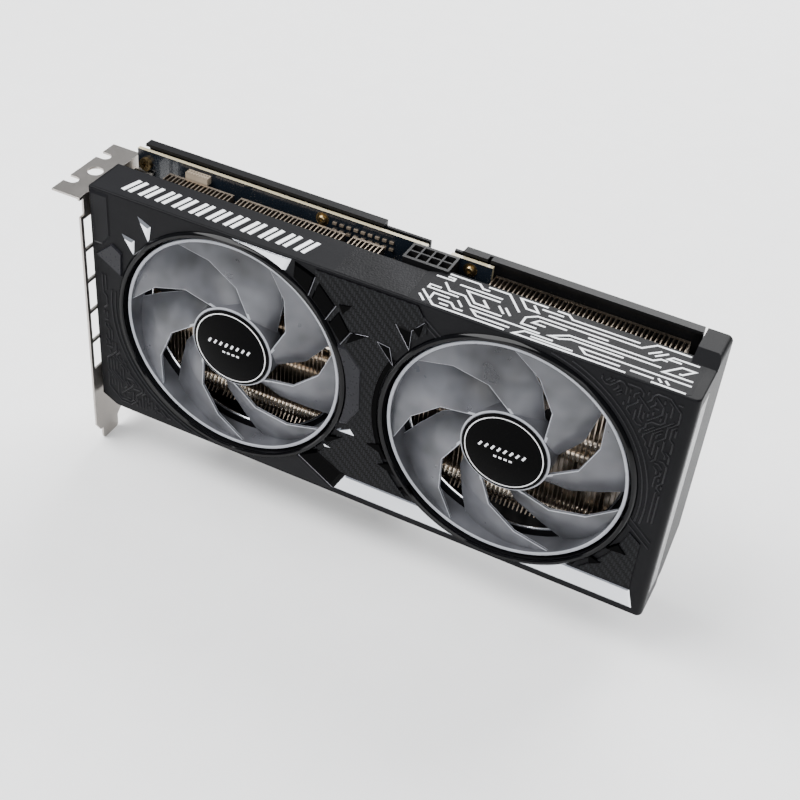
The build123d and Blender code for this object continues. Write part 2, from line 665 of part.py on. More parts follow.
FRAME_PLATE_CENTRE = (70.5, 71.0)
FRAME_PLATE_SIZE = (79.0, 74.0)
FRAME_PLATE = (-2.9, -1.9)
with BuildPart() as frame_plate:
    # stamped plate round the processor that presses on the memory and takes the spring screws
    with BuildSketch(at_depth(FRAME_PLATE[0])):
        with Locations(FRAME_PLATE_CENTRE):
            RectangleRounded(*FRAME_PLATE_SIZE, 4.0)
        with Locations(CHIP):
            Rectangle(BASE_X[1] - BASE_X[0] + 1.0, BASE_Z[1] - BASE_Z[0] + 1.0, mode=Mode.SUBTRACT)
        with Locations(*COOLER_HOLES):
            Circle(1.2, mode=Mode.SUBTRACT)
    extrude(amount=FRAME_PLATE[0] - FRAME_PLATE[1])
save(frame_plate, "frame_plate")

with BuildPart() as chokes:
    # power stage inductors in a column beside the processor
    for row in range(6):
        with Locations((120.5, -2.0, 42.0 + 8.6 * row)):
            Box(7.0, 4.0, 6.6)
    fillet(chokes.edges().filter_by(Axis.Y), 0.8)
save(chokes, "chokes")

with BuildPart() as power_stages:
    # switching transistors beside the inductors
    for row in range(6):
        with Locations((112.8, -0.45, 42.0 + 8.6 * row)):
            Box(5.0, 0.9, 5.0)
save(power_stages, "power_stages")

with BuildPart() as capacitors:
    # round polymer capacitors, lying in a column by the board's right edge
    with BuildSketch(at_depth(0)):
        with Locations(*[(132.0 + 7.6 * (row % 2), 44.0 + 4.4 * row) for row in range(9)]):
            Circle(3.1)
    extrude(amount=5.2)
    chamfer(capacitors.faces().group_by(Axis.Y)[0].edges(), 0.4)
save(capacitors, "capacitors")

with BuildPart() as small_parts:
    # small chips and resistors along the board's upper edge
    for column in range(9):
        for row in range(2):
            with Locations((88.0 + 2.9 * column, -0.4, 110.6 + 2.9 * row)):
                Box(1.6, 0.8, 0.9)
    with Locations((118.0, -0.4, 100.0), (146.0, -0.4, 96.0), (140.0, -0.4, 20.0)):
        Box(5.0, 0.8, 4.0)
save(small_parts, "small_parts")

with BuildPart() as fan_headers:
    # two four-pin sockets for the fan leads
    with Locations((118.0, -1.8, 20.0), (132.0, -1.8, 20.0)):
        Box(9.6, 3.6, 4.2)
    with BuildSketch(at_depth(-3.6)):
        with Locations((118.0, 20.0), (132.0, 20.0)):
            Rectangle(8.4, 2.8)
    extrude(amount=-2.8, mode=Mode.SUBTRACT)
save(fan_headers, "fan_headers")

# ---------------------------------------------------------------- power socket
SOCKET_TOP = SOCKET_CENTRE[2] + SOCKET_SIZE[2] / 2
with BuildPart() as power_socket:
    with Locations(SOCKET_CENTRE):
        Box(*SOCKET_SIZE)
    fillet(power_socket.edges().filter_by(Axis.Z), 0.5)
    with BuildSketch(Plane.XY.offset(SOCKET_TOP)):
        with Locations(SOCKET_CENTRE[:2]):
            with GridLocations(PIN_PITCH, PIN_PITCH, 4, 2):
                Rectangle(3.5, 3.5)
    extrude(amount=-9.5, mode=Mode.SUBTRACT)
    # latch nose on the board side, standing in the board's notch
    with Locations(((SOCKET_NOTCH[0] + SOCKET_NOTCH[1]) / 2, 0.5, SOCKET_TOP - 2.6)):
        Box(3.4, 1.0, 3.0)
save(power_socket, "power_socket")

with BuildPart() as power_pins:
    with BuildSketch(Plane.XY.offset(SOCKET_TOP - 9.5)):
        with Locations(SOCKET_CENTRE[:2]):
            with GridLocations(PIN_PITCH, PIN_PITCH, 4, 2):
                Rectangle(1.1, 1.1)
    extrude(amount=7.0)
    chamfer(power_pins.faces().group_by(Axis.Z)[-1].edges(), 0.3)
save(power_pins, "power_pins")

# ---------------------------------------------------------------- display sockets
with BuildPart() as display_sockets:
    # three folded metal shells, open towards the bracket
    for centre_z in PORT_CENTRES_Z:
        with Locations((PORT_FACE + PORT_SIZE[0] / 2, -PORT_SIZE[1] / 2, centre_z)):
            Box(*PORT_SIZE)
        with BuildSketch(Plane.YZ.offset(PORT_FACE)):
            with BuildLine():
                half_height = PORT_SIZE[2] / 2 - PORT_WALL
                Polyline(
                    (-PORT_SIZE[1] + PORT_WALL, centre_z - half_height),
                    (-PORT_SIZE[1] + PORT_WALL, centre_z + half_height),
                    (-PORT_WALL - 1.8, centre_z + half_height),
                    (-PORT_WALL, centre_z + half_height - 1.8),
                    (-PORT_WALL, centre_z - half_height),
                    close=True,
                )
            make_face()
        extrude(amount=PORT_DEPTH, mode=Mode.SUBTRACT)
save(display_sockets, "display_sockets")

with BuildPart() as lower_display_socket:
    # one folded metal shell with slanted lower corners
    with Locations((PORT_FACE + LOWER_PORT_SIZE[0] / 2, -LOWER_PORT_SIZE[1] / 2, LOWER_PORT_Z)):
        Box(*LOWER_PORT_SIZE)
    with BuildSketch(Plane.YZ.offset(PORT_FACE)):
        with BuildLine():
            half_height = LOWER_PORT_SIZE[2] / 2 - PORT_WALL
            Polyline(
                (-LOWER_PORT_SIZE[1] + PORT_WALL, LOWER_PORT_Z - half_height + 1.6),
                (-LOWER_PORT_SIZE[1] + PORT_WALL, LOWER_PORT_Z + half_height - 1.6),
                (-PORT_WALL - 2.2, LOWER_PORT_Z + half_height),
                (-PORT_WALL, LOWER_PORT_Z + half_height),
                (-PORT_WALL, LOWER_PORT_Z - half_height),
                (-PORT_WALL - 2.2, LOWER_PORT_Z - half_height),
                close=True,
            )
        make_face()
    extrude(amount=PORT_DEPTH - 1.0, mode=Mode.SUBTRACT)
save(lower_display_socket, "lower_display_socket")

TONGUE_BACK = PORT_FACE + PORT_DEPTH - 1.0
with BuildPart() as socket_tongues:
    # black contact tongues inside the shells
    for centre_z in PORT_CENTRES_Z:
        with Locations((TONGUE_BACK - 3.0, -3.2, centre_z)):
            Box(8.0, 1.3, 11.5)
    with Locations((TONGUE_BACK - 4.0, -3.2, LOWER_PORT_Z)):
        Box(8.0, 1.5, 9.6)
save(socket_tongues, "socket_tongues")

# ---------------------------------------------------------------- slot bracket
VENT_ROWS = 5
VENT_PITCH = 14.45
VENT_LOW = 31.0
VENT_HEIGHT = 13.0
VENT_COLUMNS = ((-33.2, -25.6), (-24.1, -16.5))
SHOULDER = -2.0
PORT_CLEARANCE = 0.1
with BuildPart() as slot_bracket:
    # upright sheet with its two lower tongues
    with BuildSketch(Plane.YZ):
        with BuildLine():
            Polyline(
                (BRACKET_FRONT, TAB_TOP - SHEET),
                (BRACKET_FRONT, 2.0),
                (NOTCH_CENTRES[0] - TONGUE_WIDTH / 2 - 1.6, SHOULDER),
                (NOTCH_CENTRES[0] - TONGUE_WIDTH / 2, SHOULDER),
                (NOTCH_CENTRES[0] - TONGUE_WIDTH / 2, TONGUE_TIP + 1.0),
                (NOTCH_CENTRES[0] - TONGUE_WIDTH / 2 + 1.0, TONGUE_TIP),
                (NOTCH_CENTRES[0] + TONGUE_WIDTH / 2 - 1.0, TONGUE_TIP),
                (NOTCH_CENTRES[0] + TONGUE_WIDTH / 2, TONGUE_TIP + 1.0),
                (NOTCH_CENTRES[0] + TONGUE_WIDTH / 2, SHOULDER),
                (NOTCH_CENTRES[0] + SLOT_PITCH / 2 - 2.0, 0.8),
                (NOTCH_CENTRES[0] + SLOT_PITCH / 2 + 2.0, 0.8),
                (NOTCH_CENTRES[1] - TONGUE_WIDTH / 2, SHOULDER),
                (NOTCH_CENTRES[1] - TONGUE_WIDTH / 2, TONGUE_TIP + 1.0),
                (NOTCH_CENTRES[1] - TONGUE_WIDTH / 2 + 1.0, TONGUE_TIP),
                (NOTCH_CENTRES[1] + TONGUE_WIDTH / 2 - 1.0, TONGUE_TIP),
                (NOTCH_CENTRES[1] + TONGUE_WIDTH / 2, TONGUE_TIP + 1.0),
                (NOTCH_CENTRES[1] + TONGUE_WIDTH / 2, SHOULDER),
                (NOTCH_CENTRES[1] + TONGUE_WIDTH / 2 + 2.2, SHOULDER),
                (BRACKET_BACK, 2.0),
                (BRACKET_BACK, TAB_TOP - SHEET),
                close=True,
            )
        make_face()
        # vents in the fan-side slot
        for low_y, high_y in VENT_COLUMNS:
            for row in range(VENT_ROWS):
                with Locations(((low_y + high_y) / 2, VENT_LOW + VENT_HEIGHT / 2 + VENT_PITCH * row)):
                    Rectangle(high_y - low_y, VENT_HEIGHT, mode=Mode.SUBTRACT)
        # windows for the display sockets
        for centre_z in PORT_CENTRES_Z:
            with Locations((-PORT_SIZE[1] / 2, centre_z)):
                Rectangle(
                    PORT_SIZE[1] + 2 * PORT_CLEARANCE,
                    PORT_SIZE[2] + 2 * PORT_CLEARANCE,
                    mode=Mode.SUBTRACT,
                )
        with Locations((-LOWER_PORT_SIZE[1] / 2, LOWER_PORT_Z)):
            Rectangle(
                LOWER_PORT_SIZE[1] + 2 * PORT_CLEARANCE,
                LOWER_PORT_SIZE[2] + 2 * PORT_CLEARANCE,
                mode=Mode.SUBTRACT,
            )
        # relief beside the top bend
        with Locations((BRACKET_FRONT, TAB_TOP - 5.0)):
            Rectangle(4.4, 7.0, mode=Mode.SUBTRACT)
    extrude(amount=SHEET)
    # tab that rests on the chassis, with two screw notches and a round hole
    with BuildSketch(Plane.XY.offset(TAB_TOP - SHEET)):
        with Locations(((SHEET - TAB_LENGTH) / 2, (BRACKET_FRONT + BRACKET_BACK) / 2)):
            Rectangle(TAB_LENGTH + SHEET, BRACKET_BACK - BRACKET_FRONT)
        with Locations(*[(-TAB_LENGTH + NOTCH_DEPTH / 2 - 1.0, y) for y in NOTCH_CENTRES]):
            SlotOverall(NOTCH_DEPTH + 2.0, NOTCH_WIDTH, mode=Mode.SUBTRACT)
        with Locations(TAB_HOLE):
            Circle(TAB_HOLE_RADIUS, mode=Mode.SUBTRACT)
    extrude(amount=SHEET)
save(slot_bracket, "slot_bracket")

with BuildPart() as bracket_lugs:
    # two angle lugs: one leg riveted to the sheet's inner face, one leg over the board's face
    with Locations((SHEET + 4.5, -0.6, 16.0), (SHEET + 4.5, -0.6, 105.4)):
        Box(9.0, 1.2, 6.0)
    with Locations((SHEET + 0.6, -3.6, 16.0), (SHEET + 0.6, -3.6, 105.4)):
        Box(1.2, 4.8, 6.0)
    with Locations((6.6, -0.6, 16.0)):
        Cylinder(1.4, 6.0, rotation=(90, 0, 0), mode=Mode.SUBTRACT)
save(bracket_lugs, "bracket_lugs")

# ---------------------------------------------------------------- backplate
GPU_WINDOW_RADIUS = 4.6
PLATE_STEP = 116.1
with BuildPart() as backplate:
    # stamped plate behind the board with a folded upper lip in three stretches
    with BuildSketch(at_depth(PLATE_FRONT)):
        with BuildLine():
            Polyline(
                (PLATE_LEFT, PLATE_LOW),
                (PLATE_RIGHT, PLATE_LOW),
                (PLATE_RIGHT, PLATE_TOP),
                (138.0, PLATE_TOP),
                (136.6, PLATE_STEP),
                (133.7, PLATE_STEP),
                (133.7, PLATE_STEP - 5.0),
                (124.2, PLATE_STEP - 5.0),
                (124.2, PLATE_STEP),
                (106.5, PLATE_STEP),
                (106.5, PLATE_TOP),
                (PLATE_LEFT, PLATE_TOP),
                close=True,
            )
        make_face()
        # openings round the spring screws
        with Locations(*COOLER_HOLES):
            Circle(GPU_WINDOW_RADIUS, mode=Mode.SUBTRACT)
        with Locations(CHIP):
            RectangleRounded(30.0, 30.0, 3.0, mode=Mode.SUBTRACT)
        # slanted slots behind the open end of the heatsink
        for row in range(3):
            for column in range(8):
                with Locations((160.0 + 8.0 * column, 38.0 + 27.0 * row)):
                    SlotOverall(23.0, 3.6, rotation=68.0, mode=Mode.SUBTRACT)
        with Locations(*BOARD_HOLES[1:]):
            Circle(1.4, mode=Mode.SUBTRACT)
    extrude(amount=-PLATE_THICKNESS)
    for lip_start, lip_end in ((PLATE_LEFT, 106.5), (138.0, 147.3), (148.5, PLATE_RIGHT)):
        with Locations(((lip_start + lip_end) / 2, (LIP_FRONT + PLATE_FRONT) / 2, PLATE_TOP - 0.6)):
            Box(lip_end - lip_start, PLATE_FRONT - LIP_FRONT, 1.2)
save(backplate, "backplate")

with BuildPart() as backplate_spacers:
    # round spacers between the board and the backplate
    with BuildSketch(at_depth(BOARD_THICKNESS)):
        with Locations(*BOARD_HOLES[1:]):
            Circle(2.4)
            Circle(1.4, mode=Mode.SUBTRACT)
    extrude(amount=BOARD_THICKNESS - PLATE_FRONT)
save(backplate_spacers, "backplate_spacers")

with BuildPart() as backplate_screws:
    # screws from the back, through the plate, the spacers and the board
    with BuildSketch(at_depth(PLATE_BACK)):
        with Locations(*BOARD_HOLES[1:]):
            Circle(1.25)
    extrude(amount=PLATE_BACK + 0.4)
    with BuildSketch(at_depth(PLATE_BACK)):
        with Locations(*BOARD_HOLES[1:]):
            Circle(2.5)
    extrude(amount=-1.2)
    with BuildSketch(at_depth(PLATE_BACK + 1.2)):
        with Locations(*BOARD_HOLES[1:]):
            Rectangle(2.8, 0.6)
            Rectangle(0.6, 2.8)
    extrude(amount=0.7, mode=Mode.SUBTRACT)
save(backplate_screws, "backplate_screws")

with BuildPart() as corner_screw:
    # brass screw with its nut post at the board's upper left corner
    with BuildSketch(at_depth(0)):
        with Locations(BOARD_HOLES[0]):
            Circle(2.6)
    extrude(amount=1.6)
    with BuildSketch(at_depth(-1.6)):
        with Locations(BOARD_HOLES[0]):
            Rectangle(3.0, 0.6)
            Rectangle(0.6, 3.0)
    extrude(amount=-0.8, mode=Mode.SUBTRACT)
    with BuildSketch(at_depth(0)):
        with Locations(BOARD_HOLES[0]):
            Circle(1.25)
    extrude(amount=-BOARD_THICKNESS - 1.4)
save(corner_screw, "corner_screw")

with BuildPart() as cross_brace:
    # spring-steel cross behind the processor
    with BuildSketch(at_depth(BOARD_THICKNESS)):
        with Locations(CHIP):
            Rectangle(2 * 27.5 * 2**0.5 + 7.0, 7.0, rotation=45)
            Rectangle(2 * 27.5 * 2**0.5 + 7.0, 7.0, rotation=-45)
            Rectangle(20.0, 20.0, rotation=45)
        with Locations(*COOLER_HOLES):
            Circle(1.7, mode=Mode.SUBTRACT)
    extrude(amount=-0.8)
save(cross_brace, "cross_brace")

SPRING_BACK = BOARD_THICKNESS + 0.8
with BuildPart() as spring_screws:
    # four screws that pull the cooler onto the processor
    with BuildSketch(at_depth(SPRING_BACK + 2.4)):
        with Locations(*COOLER_HOLES):
            Circle(1.15)
    extrude(amount=SPRING_BACK + 2.4 - FRAME_PLATE[0])
    with BuildSketch(at_depth(SPRING_BACK + 2.4)):
        with Locations(*COOLER_HOLES):
            Circle(3.0)
    extrude(amount=-1.2)
    with BuildSketch(at_depth(SPRING_BACK + 3.6)):
        with Locations(*COOLER_HOLES):
            Rectangle(3.4, 0.7)
            Rectangle(0.7, 3.4)
    extrude(amount=0.7, mode=Mode.SUBTRACT)
save(spring_screws, "spring_screws")

with BuildPart() as cooler_springs:
    # short coil springs under the screw heads
    for hole_x, hole_z in COOLER_HOLES:
        with BuildLine() as coil:
            Helix(
                pitch=0.8,
                height=1.6,
                radius=2.2,
                center=(hole_x, SPRING_BACK + 0.35, hole_z),
                direction=(0, 1, 0),
            )
        with BuildSketch(coil.line ^ 0):
            Circle(0.25)
        sweep(path=coil.line)
save(cooler_springs, "cooler_springs")
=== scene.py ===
from math import cos, dist, pi, radians, sin
from random import Random

import bpy
from mathutils import Matrix, Vector


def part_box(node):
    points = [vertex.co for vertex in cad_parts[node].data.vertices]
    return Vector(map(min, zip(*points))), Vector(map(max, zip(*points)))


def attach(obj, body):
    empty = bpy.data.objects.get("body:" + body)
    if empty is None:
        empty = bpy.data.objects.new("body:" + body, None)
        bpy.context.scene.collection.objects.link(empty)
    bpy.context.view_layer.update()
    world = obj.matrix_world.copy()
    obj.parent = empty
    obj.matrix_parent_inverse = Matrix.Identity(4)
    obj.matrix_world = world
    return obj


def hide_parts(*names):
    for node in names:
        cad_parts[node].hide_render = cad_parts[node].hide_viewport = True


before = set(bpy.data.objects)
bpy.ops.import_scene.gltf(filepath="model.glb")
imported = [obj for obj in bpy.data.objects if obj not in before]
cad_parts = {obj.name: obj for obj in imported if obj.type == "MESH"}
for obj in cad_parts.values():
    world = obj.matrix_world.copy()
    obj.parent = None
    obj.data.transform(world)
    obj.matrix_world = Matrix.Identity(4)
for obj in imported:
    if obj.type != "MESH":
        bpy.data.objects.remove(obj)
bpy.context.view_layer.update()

# ---------------------------------------------------------------- shroud moulding
# The shroud is one injection moulding in black plastic with a fine spark-eroded texture.
# It has two round fan ducts, a plain strip along the top and a cap at the right end,
# and every outer edge is slightly rounded by the mould.
MM = 0.001
NOISE_SPAN = (0.3, 0.7)
BROAD_MOTTLE = 60.0
GLOSS_CHANGE = 0.15


def noise(nodes, scale, detail=3.0):
    """Fine mottling laid on the piece's own coordinates."""
    place = nodes.new("ShaderNodeTexCoord")
    mottle = nodes.new("ShaderNodeTexNoise")
    mottle.inputs["Scale"].default_value = scale
    mottle.inputs["Detail"].default_value = detail
    nodes.id_data.links.new(place.outputs["Object"], mottle.inputs["Vector"])
    return mottle.outputs["Fac"]


def spread(nodes, value, low, high):
    """Stretch a noise, which seldom leaves its middle span, so that it runs from low to high."""
    stretch = nodes.new("ShaderNodeMapRange")
    stretch.inputs["From Min"].default_value = NOISE_SPAN[0]
    stretch.inputs["From Max"].default_value = NOISE_SPAN[1]
    stretch.inputs["To Min"].default_value = low
    stretch.inputs["To Max"].default_value = high
    nodes.id_data.links.new(value, stretch.inputs["Value"])
    return stretch.outputs["Result"]


def shades(nodes, share, dark, light):
    """A colour between dark and light, chosen by share."""
    blend = nodes.new("ShaderNodeMix")
    blend.data_type = "RGBA"
    blend.inputs["A"].default_value = (*dark, 1)
    blend.inputs["B"].default_value = (*light, 1)
    nodes.id_data.links.new(share, blend.inputs["Factor"])
    return blend.outputs["Result"]


def relief(nodes, height, depth):
    """Raise and sink the surface by depth millimetres where height says."""
    bump = nodes.new("ShaderNodeBump")
    bump.inputs["Strength"].default_value = 1.0
    bump.inputs["Distance"].default_value = depth * MM
    nodes.id_data.links.new(height, bump.inputs["Height"])
    return bump.outputs["Normal"]


def surface(name, colour, roughness, grain=2600.0, depth=0.02, vary=0.15, metallic=0.0, **values):
    """A finish with fine grain, slight changes of colour and gloss, and other shader values."""
    made = bpy.data.materials.new(name)
    made.use_nodes = True
    nodes = made.node_tree.nodes
    links = made.node_tree.links
    shader = nodes["Principled BSDF"]
    shader.inputs["Metallic"].default_value = metallic
    for word, value in values.items():
        socket = word.replace("_", " ").title().replace("Ior", "IOR")
        shader.inputs[socket].default_value = value
    fine = noise(nodes, grain)
    broad = noise(nodes, BROAD_MOTTLE, 2.0)
    dark = [channel * (1 - vary) for channel in colour]
    light = [min(1.0, channel * (1 + vary)) for channel in colour]
    tone = shades(nodes, spread(nodes, broad, 0.0, 1.0), dark, light)
    smoothest = roughness * (1 - GLOSS_CHANGE)
    roughest = min(1.0, roughness * (1 + GLOSS_CHANGE))
    links.new(tone, shader.inputs["Base Color"])
    links.new(spread(nodes, fine, smoothest, roughest), shader.inputs["Roughness"])
    links.new(relief(nodes, fine, depth), shader.inputs["Normal"])
    return made


def dress(node, finish):
    """Give a carried-over piece its finish."""
    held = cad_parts[node].data.materials
    held.clear()
    held.append(finish)


graphite = surface(
    "graphite_plastic", (0.0042, 0.0042, 0.005), 0.42, grain=3200, depth=0.03,
    specular_ior_level=0.07,
)
dress("shroud", graphite)

# ---------------------------------------------------------------- fan openings
# Each fan opening has a gloss black rim that stands a little proud of the face. A fine
# bright lip sits deeper inside it. Both are round mouldings, pressed into the shroud.
FANS = {"left": (62.2, 64.7), "right": (174.2, 64.7)}
SEAM = 0.01
CREASE = 35
RIM = [(47.2, -30.6), (47.2, -31.5), (47.6, -31.9), (48.6, -31.9), (49.4, -31.2), (49.6, -30.6)]
LIP = [(42.4, -18.9), (42.1, -18.6), (42.1, -18.3), (42.9, -18.3), (42.9, -18.9)]


def alone():
    """Nothing selected, and no piece open for editing."""
    if bpy.context.object and bpy.context.object.mode != "OBJECT":
        bpy.ops.object.mode_set(mode="OBJECT")
    bpy.ops.object.select_all(action="DESELECT")


def settle(piece, name, finish, slot, body="card", *nodes):
    """Name, paint and hang a finished piece on its body."""
    piece.name = name
    piece.data.name = name
    piece.data.materials.clear()
    piece.data.materials.append(finish)
    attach(piece, body)
    if nodes:
        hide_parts(*nodes)
    return piece


def outline(points, fill="NOTHING"):
    """A flat ring of corners, ready to be spun or pulled out."""
    alone()
    bpy.ops.mesh.primitive_circle_add(vertices=len(points), fill_type=fill)
    piece = bpy.context.object
    for vertex, point in zip(piece.data.vertices, points):
        vertex.co = [value * MM for value in point]
    return piece


def turned(profile, centre, steps=120):
    """Spin a closed profile of (radius, depth) about a fan's axis."""
    piece = outline([(centre[0] + radius, depth, centre[1]) for radius, depth in profile])
    bpy.ops.object.mode_set(mode="EDIT")
    bpy.ops.mesh.select_all(action="SELECT")
    middle = (centre[0] * MM, 0, centre[1] * MM)
    bpy.ops.mesh.spin(steps=steps, angle=2 * pi, center=middle, axis=(0, 1, 0))
    bpy.ops.mesh.select_all(action="SELECT")
    bpy.ops.mesh.remove_doubles(threshold=SEAM * MM)
    bpy.ops.mesh.normals_make_consistent(inside=False)
    bpy.ops.object.mode_set(mode="OBJECT")
    bpy.ops.object.shade_smooth_by_angle(angle=radians(CREASE))
    return piece


gloss_black = surface(
    "gloss_black", (0.0012, 0.0012, 0.0016), 0.09, grain=300, depth=0.002, specular_ior_level=0.16
)
bright_trim = surface(
    "bright_trim", (0.74, 0.76, 0.8), 0.16, grain=300, depth=0.003, vary=0.04, metallic=1.0
)
for side, centre in FANS.items():
    settle(turned(RIM, centre), f"fan_rim_{side}", gloss_black, "gloss_black")
    settle(turned(LIP, centre), f"throat_lip_{side}", bright_trim, "gloss_black")

# ---------------------------------------------------------------- facets on the face
# Small faceted bosses point at the fans like splinters. They belong to the shroud's
# moulding, are polished, and catch the light on their slanted sides and thin edges.
FACE = -30.7
EDGE_LIFT = 0.68


def arc(centre, radius, start, end, steps=24):
    """Points along an arc about a fan's axis, angles in degrees."""
    angles = [radians(start + (end - start) * step / steps) for step in range(steps + 1)]
    return [(centre[0] + radius * cos(angle), centre[1] + radius * sin(angle)) for angle in angles]


SILVER_FACETS = [
    [(23.2, 109.8), (28.8, 107.2), (27.7, 99.6)],
    [(15.8, 99.7), (21.3, 98.6), (20.9, 91.6)],
    [(107.6, 46.2), (115.0, 50.3), (118.0, 46.6)],
    [(103.2, 38.0), (108.4, 36.8), (104.4, 36.0)],
]
WEDGE = [(87.2, 114.9), *arc(FANS["left"], 50.2, 63, 89, 10)]
BLACK_FACETS = [
    [(88.6, 114.8), (97.2, 111.6), (94.8, 102.8), (88.2, 108.2)],
    [(98.4, 110.6), (105.9, 102.6), (102.0, 95.2), (95.8, 102.0)],
    [(107.0, 101.4), (112.2, 93.4), (108.4, 86.8), (102.9, 94.2)],
    [(106.6, 103.8), (112.4, 105.0), (108.6, 99.8)],
    [(112.8, 94.0), (119.2, 94.6), (110.0, 87.2)],
    [(129.0, 104.2), (135.2, 103.6), (134.9, 95.2)],
    [(135.4, 104.4), (139.6, 108.8), (138.2, 101.6)],
    [(122.8, 93.8), (127.6, 93.2), (129.4, 86.0)],
    [(92.6, 27.8), (101.3, 33.2), (113.6, 25.8), (109.2, 17.2)],
    [(101.6, 41.0), (112.6, 44.6), (105.4, 38.6)],
    [(121.4, 46.0), (130.4, 42.6), (127.2, 48.2)],
    [(126.6, 38.2), (137.2, 34.2), (131.4, 40.6)],
    [(136.0, 29.6), (144.6, 27.0), (140.4, 33.0)],
    [(221.5, 45.3), (225.4, 41.2), (217.3, 40.8)],
    [(211.6, 35.0), (217.6, 33.2), (212.8, 30.4)],
    [(204.2, 27.4), (208.8, 30.0), (207.2, 26.9)],
]
# A black band beside the right fan's rim: a painted shadow, built as one more black boss.
SHADOW_BAND = arc(FANS["right"], 49.8, 152, 208, 14) + arc(FANS["right"], 53.0, 205, 156, 14)
GREY_FACETS = [
    [(3.9, 87.0), (11.3, 93.7), (15.6, 90.7), (15.0, 80.2)],
    [
        *arc(FANS["left"], 50.0, -17, 26, 8),
        (110.6, 86.9), (117.4, 79.0), (118.2, 60.0), (113.0, 50.6),
    ],
]
DARK_PLATES = [
    [(2.9, 91.6), (2.9, 114.6), (10.4, 114.6), (10.4, 96.4), (6.8, 91.6)],
    [(66.4, 15.2), (92.3, 27.0), (108.4, 16.8), (107.6, 15.2)],
]
BRIGHT_EDGES = [
    [(97.2, 111.6), (94.8, 102.8)],
    [(105.9, 102.6), (102.0, 95.2)],
    [(119.2, 94.6), (112.2, 93.4), (108.4, 86.8)],
    [(129.0, 104.2), (134.9, 95.2), (135.2, 103.6), (139.6, 108.8)],
    [(122.8, 93.8), (129.4, 86.0), (127.6, 93.2), (122.8, 93.8)],
    [(92.6, 27.8), (109.2, 17.2)],
]


def boss(corners, height=0.7, narrow=0.55):
    """A flat outline pulled forward from the face and drawn in towards its middle."""
    piece = outline([(x, FACE, z) for x, z in corners], "NGON")
    bpy.ops.object.mode_set(mode="EDIT")
    bpy.ops.mesh.select_all(action="SELECT")
    bpy.ops.mesh.extrude_region_move(TRANSFORM_OT_translate={"value": (0, -height * MM, 0)})
    x, z = [sum(corner[axis] for corner in corners) / len(corners) * MM for axis in (0, 1)]
    bpy.ops.transform.resize(value=(narrow, 1, narrow), center_override=(x, FACE * MM, z))
    bpy.ops.mesh.select_all(action="SELECT")
    bpy.ops.mesh.normals_make_consistent(inside=False)
    bpy.ops.object.mode_set(mode="OBJECT")
    return piece


def joined(pieces):
    """Several made pieces as one."""
    alone()
    for piece in pieces:
        piece.select_set(True)
    bpy.context.view_layer.objects.active = pieces[0]
    bpy.ops.object.join()
    return pieces[0]


def take(piece):
    """Select just this piece and make it the active one."""
    alone()
    piece.select_set(True)
    bpy.context.view_layer.objects.active = piece


def lines(name, paths, width, height, flat=False):
    """Raised lines drawn flat along paths, in millimetres, still lying on the ground."""
    drawn = bpy.data.curves.new(name, "CURVE")
    drawn.dimensions = "2D"
    drawn.fill_mode = "NONE"
    drawn.bevel_depth = width / 2
    drawn.bevel_resolution = 1 if flat else 0
    drawn.use_fill_caps = True
    for path in paths:
        run = drawn.splines.new("POLY")
        run.points.add(len(path) - 1)
        for point, (x, z) in zip(run.points, path):
            point.co = (x, z, 0, 1)
    piece = bpy.data.objects.new(name, drawn)
    bpy.context.scene.collection.objects.link(piece)
    piece.scale = (MM, MM, MM * height / (width / 2))
    take(piece)
    bpy.ops.object.convert(target="MESH")
    return bpy.context.object


def stood_on_face(piece, depth=FACE):
    """Stand a drawn piece up against the face."""
    piece.rotation_euler = (pi / 2, 0, 0)
    piece.location = (0, depth * MM, 0)
    take(piece)
    bpy.ops.object.transform_apply()
    return piece


satin_grey = surface(
    "satin_grey", (0.011, 0.011, 0.0135), 0.3, grain=900, depth=0.003, specular_ior_level=0.14
)
deep_black = surface(
    "deep_black", (0.0003, 0.0003, 0.0004), 0.12, grain=300, depth=0.001, specular_ior_level=0.02
)
plate_grey = surface(
    "plate_grey", (0.0055, 0.0055, 0.0065), 0.34, grain=2600, depth=0.01, specular_ior_level=0.08
)
edge_silver = surface(
    "edge_silver", (0.2, 0.2, 0.22), 0.3, grain=300, depth=0.003, vary=0.1, metallic=1.0
)
silver = [boss(corners) for corners in SILVER_FACETS] + [boss(WEDGE, height=0.6, narrow=0.9)]
settle(joined(silver), "silver_facets", bright_trim, "gloss_black", "card", "facet_trims")
black = [boss(corners, height=0.9, narrow=0.82) for corners in BLACK_FACETS]
# The black bosses include the painted shadow band beside the right fan's rim.
black.append(boss(SHADOW_BAND, height=0.4, narrow=1.0))
settle(joined(black), "black_facets_and_shadow_band", deep_black, "gloss_black")
grey = [boss(corners, height=0.85, narrow=0.92) for corners in GREY_FACETS]
settle(joined(grey), "grey_facets", satin_grey, "gloss_black")
plates = [boss(corners, height=0.45, narrow=0.9) for corners in DARK_PLATES]
settle(joined(plates), "dark_plates", plate_grey, "graphite_plastic")
edges = lines("bright_edges", BRIGHT_EDGES, width=0.3, height=0.14)
settle(stood_on_face(edges, FACE - EDGE_LIFT), "bright_edges", edge_silver, "gloss_black")

# ---------------------------------------------------------------- woven panels
# Two thin plastic panels are printed and lacquered to look like twill-woven carbon cloth.
# They are stuck into the face between the fans and in its lower right corner.
TOW = 0.95
REPEAT = 4.0
WEFT_TONE = 0.25
CLOTH_DEPTH = 0.05


